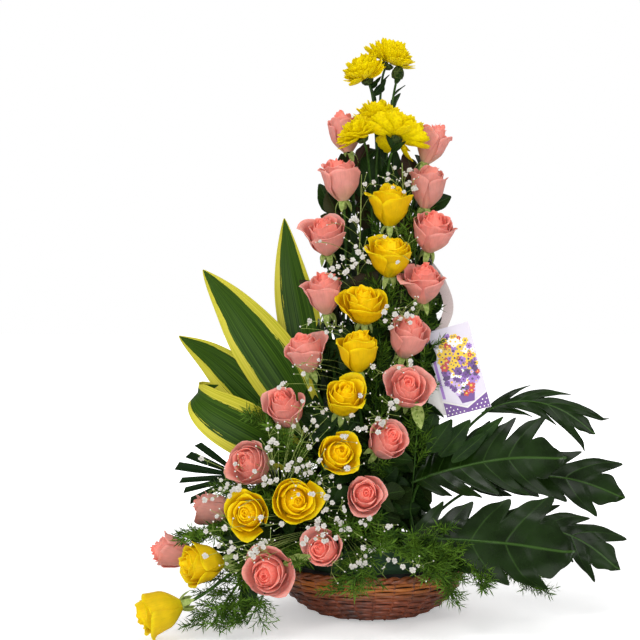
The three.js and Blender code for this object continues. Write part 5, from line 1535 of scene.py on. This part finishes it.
# %% Where the photo shows them
# pixels of the picture that show a group of florets
BREATH_PIXELS = [
    (388, 174), (406, 175), (407, 185), (404, 192), (374, 182), (416, 189), (351, 221), (365, 249), (343, 258),
    (332, 269), (345, 273), (335, 279), (356, 264), (368, 262), (385, 237), (310, 389), (283, 384), (391, 405),
    (360, 396), (352, 416), (313, 421), (305, 430), (278, 427), (273, 440), (268, 448), (365, 428), (381, 424),
    (346, 437), (300, 460), (298, 469), (310, 473), (320, 461), (255, 471), (264, 485), (240, 486), (230, 496),
    (212, 499), (220, 489), (310, 494), (328, 496), (332, 503), (317, 525), (337, 519), (308, 528), (324, 526),
    (344, 529), (350, 530), (323, 535), (365, 525), (391, 526), (370, 551), (383, 550), (394, 561), (303, 544),
    (265, 541), (236, 557), (359, 563), (225, 528), (233, 548), (219, 546), (251, 554), (403, 567), (418, 566),
    (329, 491), (384, 312), (407, 315), (391, 328), (399, 368), (411, 365), (391, 404), (382, 425),
]
# areas of the picture, left, right, top and bottom, and how many more groups are strewn over each
STREWN = [(365, 415, 168, 200, 5), (318, 372, 215, 285, 4), (395, 425, 235, 330, 9), (300, 345, 320, 420, 12),
          (372, 395, 300, 420, 8), (265, 330, 400, 480, 14), (345, 390, 405, 470, 8), (200, 300, 455, 520, 12),
          (300, 350, 470, 545, 14), (200, 290, 520, 580, 14), (330, 425, 515, 580, 16)]
# the front of the blooms: how far forward it lies at each level
FRONT_Z, FRONT_Y = [100, 200, 277, 390, 516, 618], [-150, -120, -110, -90, -60, -10]
NEAREST = -215


def from_pixel(u, v, y):
    """The place in millimetres that a pixel of the picture shows, at a given depth."""
    far = (y - EYE[1]) / FOCAL_PIXELS
    return np.array([(u - PICTURE / 2) * far + EYE[0], y, EYE[2] - (v - PICTURE / 2) * far])


chance = random.Random(9)
strewn = [(chance.uniform(a, b), chance.uniform(c, d)) for a, b, c, d, count in STREWN for _ in range(count)]
spots = []
for u, v in BREATH_PIXELS + strewn:
    y = -100.0
    for _ in range(4):
        spot = from_pixel(u, v, y)
        y = float(np.interp(spot[2], FRONT_Z, FRONT_Y)) - 8
    # where a bloom is in the way, the florets come forward until they stand in front of it
    while not room([spot], 4.0)[0] and y > NEAREST:
        y -= 3
        spot = from_pixel(u, v, y)
    spots.append(from_pixel(u, v, y))
print("spots of florets:", len(spots))

# %% Run a thread to each spot, with florets and buds at its end
BREATH = {
    "left": dict(main=[(-14, -6, 130), (-22, -20, 260), (-20, -30, 380), (-14, -26, 480), (-12, -20, 560)],
                 root=(-16, 4), shift=(0, -6, 0), seed=5),
    "right": dict(main=[(18, -6, 130), (28, -28, 250), (40, -36, 360), (48, -30, 460), (46, -26, 575)],
                  root=(16, 0), shift=(-6, 0, 0), seed=8),
    "low": dict(main=[(-44, -50, 110), (-76, -84, 140), (-110, -96, 172), (-150, -84, 168)],
                root=(-10, -40), shift=(0, 6, 0), seed=3),
}
THREAD = 0.32
pieces = {}
for name, one in BREATH.items():
    shift = np.array(one["shift"])
    moved = [np.array(p, float) + shift * (1 if i else 0.4) for i, p in enumerate(one["main"])]
    pieces[name] = dict(line=catmull(moved, 60)[0], threads=[], florets=[[], [], []], buds=[])

for k, spot in enumerate(spots):
    chance = random.Random(k)
    piece = min(pieces.values(), key=lambda p: np.min(np.linalg.norm(p["line"] - spot, axis=1)))
    line, threads = piece["line"], piece["threads"]
    # the thread leaves its stem near the spot, and below it where it can
    near = np.linalg.norm(line - spot, axis=1) + np.maximum(0, line[:, 2] - spot[2] + 15) * 2
    start = line[int(np.argmin(near))]
    middle = (start + spot) / 2 + np.array([0, -6, 8])
    threads.append(arc(start, middle, spot, np.linspace(0, 1, 7)[:, None]))
    tip = unit(threads[-1][-1] - threads[-1][-2])
    for n in range(chance.choice([1, 1, 2, 2, 3] if k < len(BREATH_PIXELS) else [0, 1, 1])):
        aside = np.array([chance.uniform(-1, 1), chance.uniform(-0.6, 0.2), chance.uniform(-0.5, 1)])
        end = spot + aside * (9 if n else 0)
        way = np.array([chance.uniform(-0.6, 0.6), -0.9, chance.uniform(-0.2, 0.8)])
        if n:
            threads.append(np.array([spot - tip * 7, end]))
        piece["florets"][chance.randrange(3)].append(np.array([end, end + unit(way) * 0.2]))
    for _ in range(chance.choice([1, 2, 3])):
        aside = np.array([chance.uniform(-1, 1), chance.uniform(-0.5, 0.5), chance.uniform(-0.6, 1)])
        end = spot + aside * 14
        if room([end, (end + spot) / 2], 3.0).all():
            threads.append(np.array([spot - tip * 9, end]))
            piece["buds"].append(np.array([end, end + (end - spot) * 0.02]))

for name, one in BREATH.items():
    piece, shape = pieces[name], Shape()
    stem = rooted(one["root"], piece["line"], piece["line"][0])
    tubes(shape, [stem], [np.linspace(1.4, 0.7, len(stem))], finish=1)
    tubes(shape, piece["threads"], [THREAD] * len(piece["threads"]), 3, finish=1)
    for model, lines in zip(floret_models, piece["florets"]):
        if lines:
            copies_along(shape, lines, model, 5, (0.75, 1.3), one["seed"])
    if piece["buds"]:
        copies_along(shape, piece["buds"], bud_model, 30, (0.7, 1.1), one["seed"])
    finished(shape, f"babys_breath_{name}_florets", "gypsophila", [floret_white, sepal_green],
             f"babys_breath_{name}")
for model in [petal_model, whorl_model, bud_model] + floret_models:
    discard(model)
print("threads:", {name: len(piece["threads"]) for name, piece in pieces.items()})

# %% [markdown]
# ## The basket, its liner and the foam
#
# The basket is woven from stripped and stained willow: thick upright stakes, and rows of thinner rods that
# pass in front of one stake and behind the next, each row the other way about. A twisted pair of rods closes
# the rim. Inside are a dark plastic liner and a block of wet flower foam, nearly hidden.

# %% Willow, and the rods
willow = Finish("stained willow")
place = willow.place()
grain = willow.noise(place, 180.0, 4.0)
mixed = willow.math("MULTIPLY", willow.math("ADD", grain, willow.noise(place, 26.0, 2.0)), 0.5)
stained = willow.ramp(mixed, (0.35, "#33150a"), (0.68, "#8c3f19"))
willow.look({"Base Color": willow.mix(willow.mark("tone"), stained, "#b8691c"), "Roughness": 0.5,
             "Coat Weight": 0.15, "Normal": willow.bump(grain, 0.35, 0.0005)})

BASKET_HEIGHT, RIM_RADIUS, BASE_RADIUS = 62, 122, 66
STAKES, WEAVERS, BASE_RINGS, RIM_TWISTS = 30, 13, 13, 24
INSET = 2.0  # how far inside the bowl's outline the rods run
SWAY = 2.2  # how far a weaver or a rim rod swings to each side
LAST_DARK_ROW = 6  # the rows above it are lighter, each by chance


def bowl_radius(z):
    share = np.clip(np.asarray(z, float) / BASKET_HEIGHT, 0, 1)
    return BASE_RADIUS + (RIM_RADIUS - BASE_RADIUS) * np.sin(np.pi / 2 * share**0.72)


def rod_path(radius, turn, height):
    """A path from distances to the middle, turns about it in radians, and levels."""
    return np.stack(np.broadcast_arrays(radius * np.cos(turn), radius * np.sin(turn), height), axis=1)


shape = Shape()
chance = random.Random(44)
turns = np.linspace(0, 2 * math.pi, STAKES * 6 + 1)
for row in range(WEAVERS):
    height = 4.5 + (BASKET_HEIGHT - 9.5) * row / (WEAVERS - 1) + 0.5 * np.sin(3 * turns + row)
    radius = bowl_radius(height) - INSET + SWAY * np.cos(STAKES / 2 * turns + math.pi * row)
    light = chance.uniform(0.1, 0.8) * (row > LAST_DARK_ROW)
    tubes(shape, [rod_path(radius, turns, height)], [2.05 + 0.12 * np.sin(5 * turns + row)], marks=(0, light))
levels = np.linspace(2.5, BASKET_HEIGHT - 1, 9)
stakes = [rod_path(bowl_radius(levels) - INSET, 2 * math.pi * (i + 0.5) / STAKES, levels)
          for i in range(STAKES)]
tubes(shape, stakes, [2.0] * STAKES)
turns = np.linspace(0, 2 * math.pi, RIM_TWISTS * 10 + 1)
for phase in (0, math.pi):
    radius = RIM_RADIUS - 0.5 + SWAY * np.cos(RIM_TWISTS * turns + phase)
    height = BASKET_HEIGHT - 1.8 + SWAY * np.sin(RIM_TWISTS * turns + phase)
    tubes(shape, [rod_path(radius, turns, height)], [2.5], marks=(0, 0.15))
turns = np.linspace(0, 2 * math.pi, 49)
for k in range(BASE_RINGS):
    tubes(shape, [rod_path(5 + 5 * k, turns, 2.6)], [2.6])
finished(shape, "basket_rods", "willow", [willow], "basket")
print("basket triangles:", added_triangles["basket_rods"])

# %% [markdown]
# ## The greeting card, the message sheet and the ribbon
#
# The card stands in the foliage at the right. Its picture is a design of my own: a round purple vase of
# yellow, white, purple and red blossoms on a pale ground, with a dotted purple band below. The pictures are
# thin coloured paper shapes laid on the card, a tenth of a millimetre proud, so no image is needed.

# %% Papers, and shapes cut from them
CARD_COLOURS = {
    "ground": "#d9d3e0", "back": "#eceae6", "purple": "#6a3f8e", "violet": "#9a6fc0", "yellow": "#f0c71f",
    "white": "#fbfaf4", "red": "#c2363a", "green": "#5b7d3a", "dark": "#4a2c66", "lilac": "#c7a9dc",
}
papers = [Finish(f"card {name}", {"Base Color": code, "Roughness": 0.42})
          for name, code in CARD_COLOURS.items()]
INK = {name: i for i, name in enumerate(CARD_COLOURS)}

CARD_CORNER, CARD_RIGHT, CARD_TOP = np.array([(97, -30, 249), (166, -40, 268), (79, -20, 362)], float)
card_x, rise = unit(CARD_RIGHT - CARD_CORNER), CARD_TOP - CARD_CORNER
card_y = unit(rise - card_x * (card_x @ rise))
card_z = np.cross(card_x, card_y)


def on_card(points):
    points = np.asarray(points, float)
    return CARD_CORNER + points[:, :1] * card_x + points[:, 1:2] * card_y + points[:, 2:3] * card_z


def paper_shape(shape, outline, low, high, ink, place=on_card):
    """A flat shape with straight sides, from its outline in the plane of the card."""
    n = len(outline)
    points = [(x, y, level) for level in (low, high) for x, y in outline]
    faces = [tuple(range(n))[::-1], tuple(range(n, 2 * n))]
    faces += [(i, (i + 1) % n, n + (i + 1) % n, n + i) for i in range(n)]
    shape.add(place(points), faces, finish=INK[ink])


def box(left, bottom, right, top):
    return [(left, bottom), (right, bottom), (right, top), (left, top)]


def disc(x, y, radius, sides):
    turns = [2 * math.pi * i / sides for i in range(sides)]
    return [(x + radius * math.cos(a), y + radius * math.sin(a)) for a in turns]


def blossom(x, y, radius, petals, turn):
    """The outline of a simple flower with round petals."""
    line = []
    for i in range(petals * 6):
        a = 2 * math.pi * i / (petals * 6) + turn
        r = radius * (0.72 + 0.28 * abs(math.sin(petals * (a - turn) / 2)))
        line.append((x + r * math.cos(a), y + r * math.sin(a)))
    return line


print("papers:", list(CARD_COLOURS))

# %% The greeting card
W, H = 58, 112  # the folded card's width and height
BACK, FRONT = 1, 1.9  # the levels of its back leaf and of its front
BAND, POINT = 22, 14  # the height of the dotted band, and how far the front leaf dips over it
DOT_ROWS, DOT_COLUMNS = 4, 11
BOUQUET_STEMS = 22
LOW_INKS = ["purple", "dark", "violet", "white", "purple", "lilac", "red"]
HIGH_INKS = ["yellow", "yellow", "white", "yellow", "red", "violet", "yellow"]

card = Shape()
paper_shape(card, box(0, 0, W, H), 0, BACK, "back")
paper_shape(card, [(0, BAND), (W / 2, BAND - POINT), (W, BAND), (W, H), (0, H)], BACK, FRONT, "ground")
band = [(0.6, 0.6), (W - 0.6, 0.6), (W - 0.6, BAND - 2.4), (W / 2, BAND - POINT - 2.2), (0.6, BAND - 2.4)]
paper_shape(card, band, BACK, BACK + 0.12, "purple")
for row in range(DOT_ROWS):
    for column in range(DOT_COLUMNS):
        x, y = 3 + column * 5.2 + (row % 2) * 2.6, 3 + row * 4.4
        if x < W - 2.5 and y < BAND - 5 - POINT * (1 - abs(x - W / 2) / (W / 2)):
            paper_shape(card, disc(x, y, 0.9, 8), BACK + 0.12, BACK + 0.2, "white")
stripe = [(1.5, BAND + 2), (5, BAND + 1.2), (5, H - 2), (1.5, H - 2)]
paper_shape(card, stripe, FRONT, FRONT + 0.1, "violet")
vase, lip = [(24, 13), (40, 13), (44, 27), (20, 27)], [(20, 23.5), (44, 23.5), (45, 27.5), (19, 27.5)]
paper_shape(card, vase, FRONT, FRONT + 0.1, "purple")
paper_shape(card, lip, FRONT + 0.1, FRONT + 0.16, "lilac")
chance = random.Random(71)
foot_x, foot_y = 32, 26
for i in range(BOUQUET_STEMS):
    a = math.radians(8 + 164 * i / (BOUQUET_STEMS - 1))
    x = 32 + 24 * math.cos(a) * chance.uniform(0.8, 1.0)
    y = 44 + 50 * math.sin(a) * chance.uniform(0.5, 1.0)
    p, q = np.array([y - foot_y, foot_x - x]) / math.hypot(x - foot_x, y - foot_y) * 1.3
    stem = [(foot_x + p, foot_y + q), (x + p, y + q), (x - p, y - q), (foot_x - p, foot_y - q)]
    paper_shape(card, stem, FRONT, FRONT + 0.08, "green")
heads = []
for attempt in range(2500):
    a, r = chance.uniform(0, 2 * math.pi), math.sqrt(chance.random())
    x, y, size = 31 + 25 * r * math.cos(a), 62 + 38 * r * math.sin(a), chance.choice([3.2, 4.2, 5.2, 5.8])
    fits = 5.6 < x - size and x + size < W - 0.6 and y + size < H - 3
    if fits and all(math.hypot(x - p, y - q) > (size + s) * 0.56 for p, q, s in heads):
        heads.append((x, y, size))
for i, (x, y, size) in enumerate(heads):
    ink = (HIGH_INKS if y + chance.uniform(-9, 9) > 56 else LOW_INKS)[i % 7]
    eye_ink = "yellow" if ink in ("white", "red", "lilac") else "dark"
    lift = FRONT + 0.1 + 0.05 * (i % 5)
    petals = blossom(x, y, size, chance.choice([5, 6, 7]), chance.uniform(0, 1))
    paper_shape(card, petals, lift, lift + 0.08, ink)
    paper_shape(card, disc(x, y, size * 0.28, 9), lift + 0.08, lift + 0.14, eye_ink)
finished(card, "greeting_card_printed", "card", papers, "greeting_card")
print("blossoms on the card:", len(heads))

# %% The message sheet
SHEET_WIDE, SHEET_HIGH, SHEET_THICK = 48, 100, 0.8
SHEET_ASIDE, SHEET_LIFT, SHEET_TURN = -27.4, 8, -0.16  # its place and turn in the plane of the card
RESTING_GAP = 0.3


def on_sheet(points):
    points = np.asarray(points, float)
    c, s = math.cos(SHEET_TURN), math.sin(SHEET_TURN)
    x = points[:, 0] * c - points[:, 1] * s + SHEET_ASIDE
    y = points[:, 0] * s + points[:, 1] * c + SHEET_LIFT
    return on_card(np.stack([x, y, points[:, 2] - SHEET_THICK - RESTING_GAP], axis=1))


sheet_piece = Shape()
paper_shape(sheet_piece, box(0, 0, SHEET_WIDE, SHEET_HIGH), 0, SHEET_THICK, "back", on_sheet)
heading = box(1, SHEET_HIGH - 12, SHEET_WIDE - 1, SHEET_HIGH - 2)
paper_shape(sheet_piece, heading, SHEET_THICK, SHEET_THICK + 0.1, "purple", on_sheet)
finished(sheet_piece, "message_sheet_paper", "envelope", papers, "message_sheet")
print("message sheet in mm:", SHEET_WIDE, "by", SHEET_HIGH)

# %% The ribbon
RIBBON_LINE = [(50, -2.9, 486), (57, 2.1, 466), (76, 14, 448), (94, 4, 420), (101, -8, 388)]
RIBBON_TUCK = [(16, 104), (10, 88)]  # where it ends behind the sheet, in the plane of the card
RIBBON_WIDTH = 13
ribbon_cloth = grained("organza ribbon", (0.3, "#b9a6a6"), (0.7, "#e2d6d2"), (26, 260, 1),
                       {"Roughness": 0.35, "Sheen Weight": 0.4}, detail=1.0, on_uv=True)
back = -SHEET_THICK - 3 * RESTING_GAP - 0.4
line, along = catmull([*RIBBON_LINE, *on_card([(x, y, back) for x, y in RIBBON_TUCK])], 60)
ribbon = Shape()
ribbon.skin(sheet_grid(line, unit(np.cross(along, card_z)), RIBBON_WIDTH / 2, 5), 0.5)
made = finished(ribbon, "ribbon_strip", "ribbon", [ribbon_cloth], "ribbon")

# %% [markdown]
# ## Foam and liner
#
# Both keep their solid form. Wet foam is dark green and pitted; the liner is black plastic.

# %% Finish the foam and the liner
for slot, code, rough in (("foam", "#2c4a2e", 0.9), ("liner", "#171615", 0.4)):
    for one in bpy.data.materials:
        if one.name.split(".")[0] == slot and one.use_nodes:
            kept = Graph(one.node_tree)
            relief = kept.bump(kept.noise(kept.place(), 900.0, 2.0), 0.4, 0.0005)
            fill(kept.tree, kept.tree.nodes["Principled BSDF"],
                 {"Base Color": code, "Roughness": rough, "Normal": relief})
            print("finished:", one.name)

print("triangles in all:", sum(added_triangles.values()), "most in a piece:", max(added_triangles.values()))
size = {"cad": cad_box, "visual": [list(corner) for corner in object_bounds()]}
